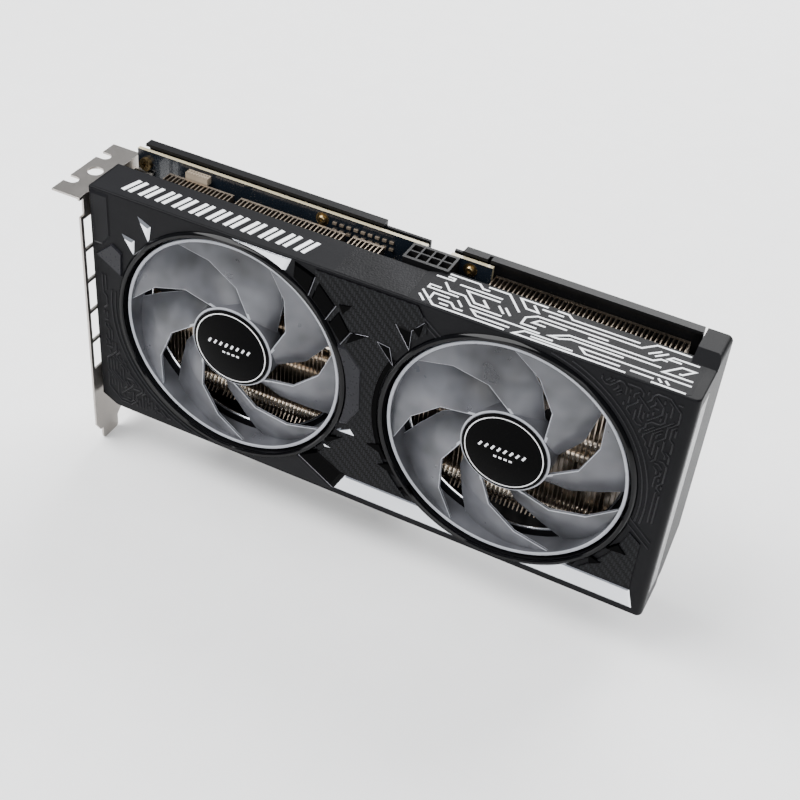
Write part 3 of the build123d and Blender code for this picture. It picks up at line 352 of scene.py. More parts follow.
def twill(name, dark, light, roughness, gloss):
    """Carbon cloth: each tow passes over two and under two, one step further every row."""
    made = bpy.data.materials.new(name)
    made.use_nodes = True
    nodes = made.node_tree.nodes
    links = made.node_tree.links
    shader = nodes["Principled BSDF"]
    shader.inputs["Roughness"].default_value = roughness
    shader.inputs["Specular IOR Level"].default_value = gloss
    place = nodes.new("ShaderNodeTexCoord")
    split = nodes.new("ShaderNodeSeparateXYZ")
    links.new(place.outputs["Object"], split.inputs["Vector"])

    def reckoned(operation, first, second=None):
        """One step of arithmetic on the pattern's values."""
        step = nodes.new("ShaderNodeMath")
        step.operation = operation
        for socket, value in zip(step.inputs, (first, second)):
            if value is None:
                continue
            if isinstance(value, (int, float)):
                socket.default_value = value
            else:
                links.new(value, socket)
        return step.outputs["Value"]

    across = reckoned("DIVIDE", split.outputs["X"], TOW * MM)
    drop = reckoned("ADD", split.outputs["Y"], split.outputs["Z"])
    up = reckoned("DIVIDE", drop, TOW * MM)
    row = reckoned("ADD", reckoned("FLOOR", across), reckoned("FLOOR", up))
    over = reckoned("LESS_THAN", reckoned("FLOORED_MODULO", row, REPEAT), REPEAT / 2)
    crown_across = reckoned("SINE", reckoned("MULTIPLY", reckoned("FRACT", across), pi))
    crown_up = reckoned("SINE", reckoned("MULTIPLY", reckoned("FRACT", up), pi))
    warp = reckoned("MULTIPLY", over, crown_across)
    weft = reckoned("MULTIPLY", reckoned("SUBTRACT", 1.0, over), crown_up)
    height = reckoned("ADD", warp, weft)
    share = reckoned("ADD", reckoned("MULTIPLY", over, 1 - WEFT_TONE), WEFT_TONE)
    tone = reckoned("MULTIPLY", height, share)
    links.new(shades(nodes, tone, dark, light), shader.inputs["Base Color"])
    links.new(relief(nodes, height, CLOTH_DEPTH), shader.inputs["Normal"])
    return made


carbon = twill(
    "carbon_cloth", dark=(0.0008, 0.0008, 0.001), light=(0.011, 0.0115, 0.013),
    roughness=0.35, gloss=0.07,
)
dress("carbon_panels", carbon)

# ---------------------------------------------------------------- lower strip
# A bright strip with bevelled edges runs along the face's lower edge, on both sides of the
# right fan's rim. It is polished metallised plastic, glued down.
STRIP_CUT = 48.7
STRIP_THICKNESS = 0.5
STRIP_BEVEL = 0.3
LOWER_STRIPS = [
    [(109.6, 17.0), (114.0, 25.4), *arc(FANS["right"], STRIP_CUT, 233.8, 258.4, 14)],
    [*arc(FANS["right"], STRIP_CUT, 281.6, 306.2, 14), (229.2, 25.4), (231.6, 17.0)],
]


def bevelled_plate(corners, height, edge):
    """A flat plate on the face with its front edges bevelled."""
    piece = outline([(x, FACE, z) for x, z in corners], "NGON")
    bpy.ops.object.mode_set(mode="EDIT")
    bpy.ops.mesh.select_all(action="SELECT")
    rise = (0, -(height - edge) * MM, 0)
    bpy.ops.mesh.extrude_region_move(TRANSFORM_OT_translate={"value": rise})
    bpy.ops.mesh.inset(thickness=edge * 2 * MM, depth=0)
    bpy.ops.transform.translate(value=(0, -edge * MM, 0))
    bpy.ops.mesh.select_all(action="SELECT")
    bpy.ops.mesh.normals_make_consistent(inside=False)
    bpy.ops.object.mode_set(mode="OBJECT")
    return piece


strips = [bevelled_plate(corners, STRIP_THICKNESS, STRIP_BEVEL) for corners in LOWER_STRIPS]
settle(joined(strips), "bright_strip", bright_trim, "gloss_black", "card", "lower_trim")

# ---------------------------------------------------------------- raised lines of the face
# The flat parts of the face carry thin raised lines in the mould, like the traces of a
# circuit. They lie close together, turn by 45 degrees, and follow the rims near the fans.
LINE_WIDTH = 0.62
LINE_HEIGHT = 0.5
GRID = 1.45
FACE_SIZE = (240, 116)
RIM_CLEAR = 54.4
RUN_STEPS = (8, 30)
UPRIGHT_HOLDS = 0.9
OTHERS_HOLD = 0.6
RIM_LINES = ((51.0, 78), (52.8, 70))
RIM_LINE_START = 8
LEFT_FIELD = [(4.4, 79.0), (4.4, 21.6), (12.6, 16.0), (66.0, 16.0), (60.0, 60.0), (15.6, 78.6)]
RIGHT_FIELD = [(147.0, 114.3), (231.6, 114.3), (231.6, 58.4), (219.6, 63.0), (174.0, 64.0)]
BANDS = [
    [(70.4, 16.4), (92.0, 25.8), (105.6, 17.0)],
    [(76.0, 16.4), (91.6, 23.2), (101.4, 16.8)],
    [(131.0, 114.2), (144.4, 103.8)],
    [(133.8, 114.2), (147.0, 104.0)],
    [(220.6, 57.4), (231.8, 47.4)],
    [(221.6, 59.6), (231.8, 50.4)],
]
HEADINGS = [(0, 1), (1, 1), (1, 0), (1, -1), (0, -1), (-1, -1), (-1, 0), (-1, 1)]
FIRST_HEADINGS = (0, 0, 4, 4, 0, 2)


def inside(x, z, corners):
    """Whether a point lies within an outline."""
    within = False
    for (ax, az), (bx, bz) in zip(corners, corners[1:] + corners[:1]):
        if (az > z) != (bz > z) and x < ax + (z - az) / (bz - az) * (bx - ax):
            within = not within
    return within


def traces(corners, centre, chance):
    """Paths on an even grid that run straight on or turn by 45 degrees, and never meet."""
    free = set()
    for column in range(int(FACE_SIZE[0] / GRID)):
        for row in range(int(FACE_SIZE[1] / GRID)):
            x, z = column * GRID, row * GRID
            if inside(x, z, corners) and dist((x, z), centre) > RIM_CLEAR:
                free.add((column, row))
    crossed = set()
    runs = []
    starts = sorted(free)
    chance.shuffle(starts)
    for start in starts:
        if start not in free:
            continue
        free.remove(start)
        run = [start]
        heading = chance.choice(FIRST_HEADINGS)
        for _ in range(chance.randint(*RUN_STEPS)):
            near = [(heading + 1) % 8, (heading - 1) % 8]
            chance.shuffle(near)
            if heading % 2:
                near.sort(key=lambda turn: turn % 4)
            holds = UPRIGHT_HOLDS if heading % 4 == 0 else OTHERS_HOLD
            order = [heading, *near] if chance.random() < holds else [*near, heading]
            for turn in order:
                there = (run[-1][0] + HEADINGS[turn][0], run[-1][1] + HEADINGS[turn][1])
                middle = (run[-1][0] + there[0], run[-1][1] + there[1])
                if there in free and middle not in crossed:
                    free.remove(there)
                    crossed.add(middle)
                    run.append(there)
                    heading = turn
                    break
            else:
                break
        if len(run) > 1:
            runs.append([(column * GRID, row * GRID) for column, row in run])
    return runs


face_paths = traces(LEFT_FIELD, FANS["left"], Random(5))
face_paths += traces(RIGHT_FIELD, FANS["right"], Random(8))
face_paths += BANDS
for radius, reach in RIM_LINES:
    face_paths.append(arc(FANS["left"], radius, 180 - RIM_LINE_START, 180 + reach, 40))
    face_paths.append(arc(FANS["right"], radius, -RIM_LINE_START, reach, 40))
line_black = surface(
    "line_black", (0.009, 0.009, 0.0105), 0.34, grain=3200, depth=0.02, specular_ior_level=0.22
)
face_lines = stood_on_face(lines("face_lines", face_paths, LINE_WIDTH, LINE_HEIGHT))
settle(face_lines, "face_lines", line_black, "graphite_plastic")

# ---------------------------------------------------------------- top strip
# The top strip is the shroud's own black plastic, with a rougher speckled stretch in its
# middle. A thin satin film laid on it is painted lighter grey than the face: painted top light,
# for the light that falls on the strip from above. It carries screen-printed white marks: a
# row of slanted blocks at the bracket's end, and a field of circuit-like lines at the other.
STRIP = 115.7
SKIN = 0.05
PRINT = 0.05
MARK_WIDTH = 0.85
SKIN_OUTLINE = [
    (2.9, -29.9), (230.2, -29.9), (231.8, -28.8), (231.8, -12.7), (226.5, -12.7), (226.5, -8.4),
    (138.8, -8.4), (131.3, -12.4), (2.9, -12.4),
]
PATCH_OUTLINE = [(103.4, -29.8), (131.6, -29.8), (131.0, -12.5), (103.4, -12.5)]
BLOCK_ENDS = (-26.2, -17.8)
BLOCK_WIDTH = 2.0
BLOCK_SLANT = 2.2
FIRST_BLOCK = 14.0
BLOCK_PAIR = (0.0, 2.9)
PAIR_PITCH = 7.2
PAIRS = 11
STRIP_LINES = [
    [(138.6, -9.6), (149.8, -9.6), (151.8, -11.6), (154.4, -11.6)],
    [(134.8, -12.8), (141.2, -12.8), (141.2, -11.4), (138.6, -11.4)],
    [(144.0, -13.6), (160.0, -13.6)],
    [(153.2, -9.6), (161.0, -9.6), (167.6, -17.4)],
    [(160.0, -15.6), (147.8, -15.6), (152.6, -20.8), (157.6, -20.8), (154.6, -17.6)],
    [(139.2, -15.0), (142.4, -18.8), (148.2, -18.8), (152.0, -22.8), (163.4, -22.8)],
    [(146.6, -20.6), (135.2, -20.6), (135.2, -18.8), (139.4, -18.8)],
    [(147.2, -22.4), (149.8, -25.2)],
    [(134.2, -22.8), (140.8, -29.2), (167.0, -29.2)],
    [(134.2, -25.6), (137.2, -28.6)],
    [(138.4, -27.2), (138.4, -22.8), (144.2, -22.8)],
    [(141.0, -25.0), (145.8, -25.0), (148.0, -27.2), (151.0, -27.2)],
    [(142.4, -27.2), (145.6, -27.2)],
    [(178.0, -24.8), (153.4, -24.8), (156.0, -27.2), (168.0, -27.2)],
    [(160.4, -17.8), (163.4, -21.2)],
    [(162.8, -17.6), (165.8, -21.0)],
    [(175.2, -9.6), (165.2, -9.6), (169.0, -14.2), (173.4, -14.2), (170.6, -11.0)],
    [(173.8, -11.6), (181.6, -11.6)],
    [(178.6, -9.6), (182.8, -9.6), (184.8, -11.6), (208.8, -11.6)],
    [(177.0, -13.8), (210.0, -13.8), (214.2, -9.6), (226.0, -9.6)],
    [(199.2, -16.2), (174.0, -16.2), (170.6, -18.8), (170.6, -22.8), (176.0, -22.8)],
    [(185.2, -18.2), (175.4, -18.2), (173.8, -20.4), (178.4, -20.4)],
    [(192.8, -18.2), (215.4, -18.2), (217.6, -16.2), (219.8, -16.2)],
    [
        (218.9, -20.4), (187.0, -20.4), (181.4, -24.0),
        (184.6, -24.0), (188.0, -22.2), (206.6, -22.2),
    ],
    [(216.6, -12.2), (212.9, -15.5)],
    [(218.9, -12.2), (215.3, -15.7)],
    [(229.9, -13.3), (221.0, -13.3), (219.6, -14.9), (224.2, -14.9)],
    [
        (230.3, -22.2), (220.1, -22.2), (225.0, -16.8),
        (229.6, -16.8), (226.2, -20.5), (225.1, -20.5),
    ],
    [(230.6, -24.7), (192.6, -24.7), (195.0, -27.0), (207.0, -27.0)],
    [(183.2, -26.2), (173.2, -26.2), (170.2, -29.2), (209.6, -29.2)],
    [(176.0, -27.8), (190.8, -27.8)],
    [(210.6, -27.2), (218.6, -27.2)],
    [(218.3, -29.2), (230.0, -29.2)],
    [(219.9, -26.3), (221.5, -27.9)],
    [(222.4, -26.3), (224.0, -27.9)],
]


def on_strip(piece, lift=0.0):
    """Lay a drawn piece on the top strip."""
    piece.location = (0, 0, (STRIP + lift) * MM)
    take(piece)
    bpy.ops.object.transform_apply()
    return piece


def skin(corners, thickness):
    """A flat film of an outline's shape, lying on the ground."""
    piece = outline([(x, y, 0) for x, y in corners], "NGON")
    bpy.ops.object.mode_set(mode="EDIT")
    bpy.ops.mesh.select_all(action="SELECT")
    rise = (0, 0, thickness * MM)
    bpy.ops.mesh.extrude_region_move(TRANSFORM_OT_translate={"value": rise})
    bpy.ops.mesh.select_all(action="SELECT")
    bpy.ops.mesh.normals_make_consistent(inside=False)
    bpy.ops.object.mode_set(mode="OBJECT")
    return piece


# Both strip films are painted lighter than the shroud's face: painted top light for the light from
# above. The speckle and roughness of the middle stretch are the strip's own.
strip_top_light = surface(
    "strip_top_light", (0.0085, 0.0085, 0.0095), 0.5, grain=3600, depth=0.03, vary=0.08,
    specular_ior_level=0.07,
)
speckle_top_light = surface(
    "speckle_top_light_grey", (0.0085, 0.0085, 0.0095), 0.5, grain=1300, depth=0.2, vary=0.3,
    specular_ior_level=0.09,
)
# The film and the speckled patch carry the painted top light.
settle(on_strip(skin(SKIN_OUTLINE, SKIN)), "strip_top_light_film", strip_top_light, "graphite_plastic")
settle(on_strip(skin(PATCH_OUTLINE, 2 * SKIN)), "speckled_top_light_patch", speckle_top_light, "graphite_plastic")

print_white = surface("print_white", (0.82, 0.83, 0.85), 0.5, grain=4000, depth=0.004, vary=0.04)
strip_lines = lines("strip_lines", STRIP_LINES, MARK_WIDTH, PRINT, flat=True)
settle(on_strip(strip_lines, SKIN), "strip_lines", print_white, "graphite_plastic")
blocks = []
for pair in range(PAIRS):
    for shift in BLOCK_PAIR:
        foot = FIRST_BLOCK + PAIR_PITCH * pair + shift
        blocks.append([(foot, BLOCK_ENDS[0]), (foot + BLOCK_SLANT, BLOCK_ENDS[1])])
strip_blocks = lines("strip_blocks", blocks, BLOCK_WIDTH, PRINT, flat=True)
settle(on_strip(strip_blocks, SKIN), "strip_blocks", print_white, "graphite_plastic")

# ---------------------------------------------------------------- end light
# The right end has a long light guide of frosted plastic, ribbed across on its outer side,
# with a narrow board of six lamps behind it.
RIBS = 44
RIB_HEIGHT = 0.25
RIB_NARROW = 0.94
OUTWARDS = 0.9
BACK_GAP = 0.05
frosted = surface(
    "frosted_guide", (0.12, 0.12, 0.125), 0.28, grain=500, depth=0.2, vary=0.8, metallic=0.6
)
low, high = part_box("light_guide")
alone()
bpy.ops.mesh.primitive_grid_add(x_subdivisions=2, y_subdivisions=RIBS, size=1)
guide = bpy.context.object
guide.rotation_euler = (0, pi / 2, 0)
bpy.ops.object.transform_apply()
for vertex in guide.data.vertices:
    vertex.co = (
        high.x - RIB_HEIGHT * MM,
        low.y + (vertex.co.z + 0.5) * (high.y - low.y),
        low.z + (vertex.co.y + 0.5) * (high.z - low.z),
    )
bpy.ops.object.mode_set(mode="EDIT")
bpy.ops.mesh.select_all(action="SELECT")
inwards = (low.x - high.x + (RIB_HEIGHT + BACK_GAP) * MM, 0, 0)
bpy.ops.mesh.extrude_region_move(TRANSFORM_OT_translate={"value": inwards})
bpy.ops.mesh.select_all(action="SELECT")
bpy.ops.mesh.normals_make_consistent(inside=False)
bpy.ops.object.mode_set(mode="OBJECT")
rib = (high.z - low.z) / RIBS
for face in guide.data.polygons:
    face.select = face.normal.x > OUTWARDS and int((face.center.z - low.z) / rib) % 2 == 0
bpy.ops.object.mode_set(mode="EDIT")
bpy.ops.mesh.select_mode(type="FACE")
bpy.ops.mesh.extrude_region_move(TRANSFORM_OT_translate={"value": (RIB_HEIGHT * MM, 0, 0)})
bpy.ops.transform.resize(value=(1, RIB_NARROW, 1))
bpy.ops.object.mode_set(mode="OBJECT")
settle(guide, "ribbed_light_guide", frosted, "frosted_guide", "card", "light_guide")
board_black = surface(
    "board_black", (0.008, 0.012, 0.016), 0.3, grain=1500, depth=0.01, coat_weight=0.3
)
dress("light_board", board_black)

# ---------------------------------------------------------------- fan rotors
# Each rotor is moulded in frosted clear plastic: a hub, seven swept blades with kinked
# edges, and a ring that joins their tips. The small faces along its edges are painted a
# lighter grey, a painted highlight for the light that its edges catch. A plain black label
# with a silver line is stuck on the hub.
TIPS = {"left": 22.5, "right": 46.0}
STATIONS = [(16.4, -60.0, -98.0), (27.5, -38.2, -74.0), (36.8, -19.3, -58.5), (45.5, -2.1, -49.8)]
BLADES = 7
BLADE_FRONT = -28.3
BLADE_DEPTH = 7.2
BLADE_BELLY = 1.1
BLADE_WALL = 1.1
BLADE_EDGE = 0.25
BLADE_CREASE = 60
ROUND_STEPS = 2
SMOOTH_UP_TO = 30
CHORD_STEPS = 10
PANEL_STEPS = 4
EDGE_FACE = 2.0 * MM * MM
BLADE_RING = [
    (44.7, -29.6), (45.0, -29.9), (45.8, -29.9), (46.0, -29.7),
    (46.0, -20.4), (45.8, -20.2), (44.7, -20.2),
]
HUB = [
    (13.0, -29.2), (16.6, -29.2), (17.2, -28.8), (17.2, -20.4),
    (16.9, -20.2), (16.1, -20.2), (16.1, -28.2), (13.0, -28.2),
]
LABEL_FACE = -29.75
LABEL = [(0.02, LABEL_FACE), (15.6, LABEL_FACE), (16.3, -29.5), (16.3, -29.2), (0.02, -29.2)]
LABEL_LINE = [(14.75, -29.7), (14.75, -29.86), (15.15, -29.86), (15.15, -29.7)]
LABEL_MARKS = [[(-9.6 + 2.4 * n, -0.4), (-8.6 + 2.4 * n, 1.4)] for n in range(8)]
LABEL_MARKS += [[(-3.6 + 2.0 * n, -3.0), (-2.4 + 2.0 * n, -3.0)] for n in range(4)]


def rounded(piece, width, angle=CREASE):
    """Round the sharp edges of a piece and smooth what is left."""
    take(piece)
    bevel = piece.modifiers.new("edges", "BEVEL")
    bevel.width = width * MM
    bevel.segments = ROUND_STEPS
    bevel.limit_method = "ANGLE"
    bevel.angle_limit = radians(angle)
    bpy.ops.object.modifier_apply(modifier="edges")
    bpy.ops.object.shade_smooth_by_angle(angle=radians(SMOOTH_UP_TO))
    even = piece.modifiers.new("even", "WEIGHTED_NORMAL")
    even.keep_sharp = True
    bpy.ops.object.modifier_apply(modifier="even")
    return piece


def blade(centre, tip):
    """One swept blade between the hub and the ring, of even thickness."""
    panels = len(STATIONS) - 1
    alone()
    bpy.ops.mesh.primitive_grid_add(
        x_subdivisions=panels * PANEL_STEPS, y_subdivisions=CHORD_STEPS, size=1
    )
    piece = bpy.context.object
    for vertex in piece.data.vertices:
        along = (vertex.co.x + 0.5) * panels
        chord = vertex.co.y + 0.5
        panel = min(int(along + 1e-6), panels - 1)
        share = along - panel
        depth = BLADE_FRONT + BLADE_DEPTH * chord - BLADE_BELLY * sin(pi * chord)
        ends = []
        for radius, front, back in STATIONS[panel:panel + 2]:
            angle = radians(tip + front + (back - front) * chord)
            ends.append((centre[0] + radius * cos(angle), centre[1] + radius * sin(angle)))
        x, z = [a + (b - a) * share for a, b in zip(*ends)]
        vertex.co = (x * MM, depth * MM, z * MM)
    take(piece)
    wall = piece.modifiers.new("wall", "SOLIDIFY")
    wall.thickness = BLADE_WALL * MM
    wall.offset = 0
    bpy.ops.object.modifier_apply(modifier="wall")
    return rounded(piece, BLADE_EDGE, BLADE_CREASE)


frosted_clear = surface(
    "frosted_clear", (0.092, 0.094, 0.105), 0.32, grain=150, depth=0.001, vary=0.5,
    alpha=0.8, specular_ior_level=0.45,
)
# The lighter grey for the blades' edge faces is a painted highlight, not a finish of the plastic.
edge_highlight = surface("blade_edge_highlight", (0.3, 0.31, 0.34), 0.3, grain=150, depth=0.001, vary=0.1)
label_black = surface(
    "label_black", (0.0003, 0.0003, 0.0004), 0.14, grain=400, depth=0.003, specular_ior_level=0.03
)
silver_line = surface(
    "silver_line", (0.75, 0.75, 0.76), 0.3, grain=2000, depth=0.005, vary=0.05, metallic=1.0
)
for side, centre in FANS.items():
    body = f"fan_{side}"
    first = blade(centre, TIPS[side])
    bpy.ops.object.mode_set(mode="EDIT")
    bpy.ops.mesh.select_all(action="SELECT")
    middle = (centre[0] * MM, 0, centre[1] * MM)
    others = BLADES - 1
    sweep = 2 * pi * others / BLADES
    bpy.ops.mesh.spin(steps=others, dupli=True, angle=sweep, center=middle, axis=(0, 1, 0))
    bpy.ops.object.mode_set(mode="OBJECT")
    rotor = joined([first, turned(BLADE_RING, centre, steps=160), turned(HUB, centre, steps=96)])
    settle(rotor, f"rotor_{side}", frosted_clear, "fan_plastic", body, f"fan_rotor_{side}")
    # Faces smaller than EDGE_FACE, along the rounded edges, get the painted edge highlight.
    rotor.data.materials.append(edge_highlight)
    for face in rotor.data.polygons:
        face.material_index = int(face.area < EDGE_FACE)
    label = turned(LABEL, centre, steps=96)
    settle(label, f"label_{side}", label_black, "label_film", body, f"hub_label_{side}")
    label_line = turned(LABEL_LINE, centre, steps=96)
    settle(label_line, f"label_line_{side}", silver_line, "label_film", body)
    marks = [[(centre[0] + x, centre[1] + z) for x, z in mark] for mark in LABEL_MARKS]
    label_marks = lines(f"label_marks_{side}", marks, MARK_WIDTH, PRINT, flat=True)
    stood_on_face(label_marks, LABEL_FACE)
    settle(label_marks, f"label_marks_{side}", print_white, "label_film", body)

# ---------------------------------------------------------------- fan motors
# Behind each hub sit the frame with its three arms, the wound core on its tube, the ring
# magnet in the hub, the driver board, the sleeve and the shaft.
frame_black = surface("frame_black", (0.012, 0.012, 0.013), 0.5, grain=2400, depth=0.02)
iron = surface("core_iron", (0.12, 0.11, 0.1), 0.55, grain=1800, depth=0.03, metallic=0.6)
bronze = surface("sleeve_bronze", (0.5, 0.35, 0.18), 0.35, grain=2200, depth=0.01, metallic=1.0)
steel = surface("bright_steel", (0.6, 0.6, 0.61), 0.28, grain=1500, depth=0.005, metallic=1.0)
for side in FANS:
    dress(f"fan_frame_{side}", frame_black)
    dress(f"fan_magnet_{side}", iron)
    dress(f"fan_stator_{side}", iron)
    dress(f"fan_board_{side}", board_black)
    dress(f"fan_bearing_{side}", bronze)
    dress(f"fan_shaft_{side}", steel)

# ---------------------------------------------------------------- heatsink
# Thin stamped fins are threaded on four nickel-plated heat pipes and clipped to each other
# along their edges. A plated block under the pipes sits on the processor.
fin_metal = surface(
    "fin_metal", (0.42, 0.35, 0.28), 0.32, grain=900, depth=0.01, vary=0.2, metallic=1.0
)
pipe_metal = surface("pipe_plate", (0.78, 0.7, 0.6), 0.22, grain=700, depth=0.006, metallic=1.0)
black_steel = surface(
    "black_steel", (0.015, 0.015, 0.016), 0.42, grain=1800, depth=0.02, metallic=0.3
)
pad_grey = surface("pad_grey", (0.35, 0.4, 0.46), 0.8, grain=1500, depth=0.05)
for node in ("fin_stack_left", "fin_stack_right"):
    dress(node, fin_metal)
for node in ("heat_pipes", "cold_plate"):
    dress(node, pipe_metal)
for node in ("cooler_brackets", "frame_plate", "cross_brace", "spring_screws"):
    dress(node, black_steel)
for node in ("shroud_screws", "backplate_screws"):
    dress(node, black_steel)
dress("thermal_pads", pad_grey)
dress("cooler_springs", steel)

# ---------------------------------------------------------------- fin collars
# Round its holes each fin is drawn out into a short collar that grips the pipe. The collars
# of the lowest pipe show, because the fins are cut back there.
FIN_PITCH = 1.735
FIRST_COLLAR = (19.8, -12.4, 32.0)
COLLARS = 117
COLLAR_RADIUS = 3.3
COLLAR_LIP = 0.5
alone()
bpy.ops.mesh.primitive_torus_add(
    major_segments=24, minor_segments=6, major_radius=COLLAR_RADIUS * MM,
    minor_radius=COLLAR_LIP * MM, location=[value * MM for value in FIRST_COLLAR],
    rotation=(0, pi / 2, 0),
)
collars = bpy.context.object
bpy.ops.object.transform_apply()
row = collars.modifiers.new("row", "ARRAY")
row.count = COLLARS
row.use_relative_offset = False
row.use_constant_offset = True
row.constant_offset_displace = (FIN_PITCH * MM, 0, 0)
bpy.ops.object.modifier_apply(modifier="row")
bpy.ops.object.shade_smooth()
settle(collars, "fin_collars", pipe_metal, "fin_aluminium")

# ---------------------------------------------------------------- circuit board
# The board is pressed glass cloth under black solder mask, and its cut edge shows straw
# coloured. Gold plated fingers run along the lower edge, and the parts are soldered on.
FACING = 0.5


def board_finish(name, mask, edge):
    """Solder mask on the two faces and bare straw-coloured laminate on the cut edges."""
    made = surface(name, mask, 0.28, grain=1600, depth=0.01, coat_weight=0.4)
    nodes = made.node_tree.nodes
    links = made.node_tree.links
    shader = nodes["Principled BSDF"]
    masked = shader.inputs["Base Color"].links[0].from_socket
    place = nodes.new("ShaderNodeTexCoord")
    split = nodes.new("ShaderNodeSeparateXYZ")
    links.new(place.outputs["Normal"], split.inputs["Vector"])
    size = nodes.new("ShaderNodeMath")
    size.operation = "ABSOLUTE"
    links.new(split.outputs["Y"], size.inputs[0])
    flat = nodes.new("ShaderNodeMath")
    flat.operation = "GREATER_THAN"
    flat.inputs[1].default_value = FACING
    links.new(size.outputs["Value"], flat.inputs[0])
    blend = nodes.new("ShaderNodeMix")
    blend.data_type = "RGBA"
    blend.inputs["A"].default_value = (*edge, 1)
    links.new(flat.outputs["Value"], blend.inputs["Factor"])
    links.new(masked, blend.inputs["B"])
    links.new(blend.outputs["Result"], shader.inputs["Base Color"])
    return made


solder_mask = board_finish("solder_mask", mask=(0.006, 0.009, 0.014), edge=(0.42, 0.37, 0.25))
nickel = surface(
    "nickel_plate", (0.4, 0.375, 0.35), 0.34, grain=1400, depth=0.012, vary=0.08, metallic=1.0
)
gold = surface("gold_plate", (0.83, 0.62, 0.25), 0.25, grain=1500, depth=0.005, metallic=1.0)
chip_black = surface("chip_black", (0.012, 0.012, 0.012), 0.55, grain=2500, depth=0.02)
ceramic = surface("ceramic_tan", (0.13, 0.105, 0.08), 0.4, grain=1200, depth=0.02, vary=0.4)
nylon_white = surface("nylon_white", (0.7, 0.68, 0.62), 0.45, grain=1600, depth=0.02)
nylon_black = surface(
    "nylon_black", (0.006, 0.006, 0.0065), 0.35, grain=1600, depth=0.015, specular_ior_level=0.2
)
choke_grey = surface("choke_grey", (0.06, 0.06, 0.06), 0.6, grain=2200, depth=0.05)
can = surface("capacitor_can", (0.62, 0.62, 0.63), 0.3, grain=1600, depth=0.005, metallic=1.0)
silicon = surface("die_silicon", (0.12, 0.13, 0.16), 0.08, grain=500, depth=0.001, metallic=0.6)
for node, finish in {
    "circuit_board": solder_mask,
    "edge_contacts": gold,
    "power_pins": gold,
    "chip_package": board_black,
    "chip_die": silicon,
    "memory_chips": chip_black,
    "power_stages": chip_black,
    "chokes": choke_grey,
    "capacitors": can,
    "small_parts": ceramic,
    "fan_headers": nylon_white,
    "socket_tongues": nylon_black,
    "display_sockets": steel,
    "lower_display_socket": steel,
    "backplate_spacers": gold,
    "bracket_lugs": nickel,
}.items():
    dress(node, finish)

# ---------------------------------------------------------------- top edge of the board
# Along its top edge the board shows a small pin connector in straw-coloured nylon and two
# plated mounting rings with pan-head brass screws. The connector is soldered on.
CONNECTOR = (30.6, -1.55, 112.4)
CONNECTOR_SIZE = (9.6, 2.9, 3.0)
PIT_WALL = 0.25
PIT_DEPTH = 0.8
CONNECTOR_EDGE = 0.08
RING = [(1.3, -0.02), (1.3, -0.12), (2.7, -0.12), (2.7, -0.02)]
PAN_HEAD = [
    (0.02, -0.7), (0.5, -0.7), (0.6, -1.2), (1.2, -1.15),
    (1.6, -0.8), (1.7, -0.4), (1.7, -0.12), (0.02, -0.12),
]
SCREWS = {"middle": (82.7, 113.4), "right": (142.0, 113.2)}
alone()
bpy.ops.mesh.primitive_grid_add(x_subdivisions=8, y_subdivisions=2, size=1)
header = bpy.context.object
for vertex in header.data.vertices:
    vertex.co = (
        (CONNECTOR[0] + vertex.co.x * CONNECTOR_SIZE[0]) * MM,
        (CONNECTOR[1] + vertex.co.y * CONNECTOR_SIZE[1]) * MM,
        CONNECTOR[2] * MM,
    )
bpy.ops.object.mode_set(mode="EDIT")
bpy.ops.mesh.select_all(action="SELECT")
bpy.ops.mesh.extrude_region_move(TRANSFORM_OT_translate={"value": (0, 0, CONNECTOR_SIZE[2] * MM)})
bpy.ops.mesh.inset(thickness=PIT_WALL * MM, use_individual=True)
bpy.ops.transform.translate(value=(0, 0, -PIT_DEPTH * MM))
bpy.ops.mesh.select_all(action="SELECT")
bpy.ops.mesh.normals_make_consistent(inside=False)
bpy.ops.object.mode_set(mode="OBJECT")
straw = surface("straw_nylon", (0.3, 0.25, 0.19), 0.45, grain=1600, depth=0.02)
settle(rounded(header, CONNECTOR_EDGE), "pin_connector", straw, "nylon_white")
brass = surface(
    "dull_brass", (0.3, 0.22, 0.11), 0.35, grain=1500, depth=0.01, vary=0.25, metallic=1.0
)
dress("corner_screw", brass)
for name, centre in SCREWS.items():
    settle(turned(RING, centre, steps=48), f"plated_ring_{name}", brass, "gold_plate")
    settle(turned(PAN_HEAD, centre, steps=48), f"board_screw_{name}", brass, "brass")

# ---------------------------------------------------------------- power socket
# The eight-way power socket is moulded in black nylon with a wall between its ways. It
# sits in a notch of the board and is held by its soldered pins.
dress("power_socket", nylon_black)

# ---------------------------------------------------------------- slot bracket
# The bracket is stamped from 0.86 mm steel sheet, bent at the top, and nickel plated. Two
# lugs riveted to its inner face tie it to the board.
SAME_POINT = 0.002
SAME_PLANE = 0.5
BRACKET_EDGE = 0.12


def softened(node, name, width, finish, slot):
    """A merged copy of a carried-over piece of the card, with its edges rounded."""
    piece = bpy.data.objects.new(name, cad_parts[node].data.copy())
    bpy.context.scene.collection.objects.link(piece)
    take(piece)
    bpy.ops.mesh.customdata_custom_splitnormals_clear()
    bpy.ops.object.mode_set(mode="EDIT")
    bpy.ops.mesh.select_all(action="SELECT")
    bpy.ops.mesh.remove_doubles(threshold=SAME_POINT * MM)
    bpy.ops.mesh.dissolve_limited(angle_limit=radians(SAME_PLANE))
    bpy.ops.object.mode_set(mode="OBJECT")
    rounded(piece, width)
    return settle(piece, name, finish, slot, "card", node)


softened("slot_bracket", "nickel_bracket", BRACKET_EDGE, nickel, "steel")

# ---------------------------------------------------------------- backplate
# The backplate is stamped from sheet with a field of slanted slots, folded along its top
# edge, and painted satin black. Screws hold it to spacers on the board.
FOLDED_EDGE = 0.25
plate_black = surface(
    "backplate_paint", (0.006, 0.006, 0.0065), 0.4, grain=2000, depth=0.02, specular_ior_level=0.14
)
softened("backplate", "painted_backplate", FOLDED_EDGE, plate_black, "backplate_paint")

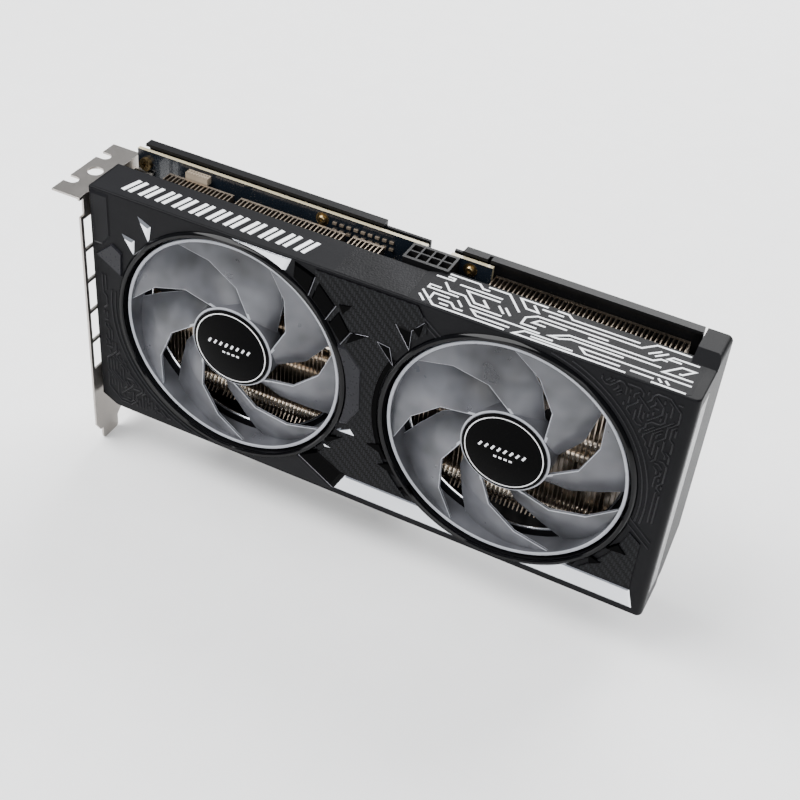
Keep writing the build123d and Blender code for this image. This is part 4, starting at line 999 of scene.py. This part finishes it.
# ---------------------------------------------------------------- floor, light and camera
# The card stands on pale paper under three soft lamps, and a long lens looks down on it
# from its right front corner.
FLOOR_LEVEL = -8.05
FLOOR_SIZE = 8
SKY = (0.9, 0.94, 1.0, 1)
SKY_STRENGTH = 0.35
AIM = (0.118, -0.015, 0.06)
LAMPS = [
    ("key_lamp", (-0.5, -0.35, 1.25), 1.1, 44.0),
    ("front_lamp", (0.7, -1.2, 0.75), 0.9, 12.0),
    ("back_lamp", (0.25, 1.1, 0.9), 1.2, 38.0),
]
LENS = 62.69
CAMERA_PLACE = (0.2798, -0.3842, 0.38934)
CAMERA_RIGHT = (0.89345756, 0.44201995, 0.0796992)
CAMERA_UP = (-0.33906695, 0.54740492, 0.76510225)
CAMERA_BACK = (0.29456272, -0.71060975, 0.63895742)
alone()
bpy.ops.mesh.primitive_plane_add(size=FLOOR_SIZE, location=(0, 0, FLOOR_LEVEL * MM))
floor = bpy.context.object
floor.name = "floor"
paper = surface("floor_paper", (0.92, 0.92, 0.92), 0.9, grain=40, depth=0.01, vary=0.01)
floor.data.materials.append(paper)

for name, place, size, power in LAMPS:
    lamp = bpy.data.lights.new(name, "AREA")
    lamp.shape = "SQUARE"
    lamp.size = size
    lamp.energy = power
    held = bpy.data.objects.new(name, lamp)
    held.location = place
    held.rotation_euler = (Vector(AIM) - Vector(place)).to_track_quat("-Z", "Y").to_euler()
    bpy.context.scene.collection.objects.link(held)
world = bpy.data.worlds.new("studio")
world.use_nodes = True
sky = world.node_tree.nodes["Background"]
sky.inputs["Color"].default_value = SKY
sky.inputs["Strength"].default_value = SKY_STRENGTH
bpy.context.scene.world = world

lens = bpy.data.cameras.new("camera")
lens.sensor_width = 36
lens.lens = LENS
lens.clip_start = 0.01
viewer = bpy.data.objects.new("camera", lens)
turn = Matrix((CAMERA_RIGHT, CAMERA_UP, CAMERA_BACK)).transposed().to_4x4()
viewer.matrix_world = Matrix.Translation(CAMERA_PLACE) @ turn
bpy.context.scene.collection.objects.link(viewer)
bpy.context.scene.camera = viewer
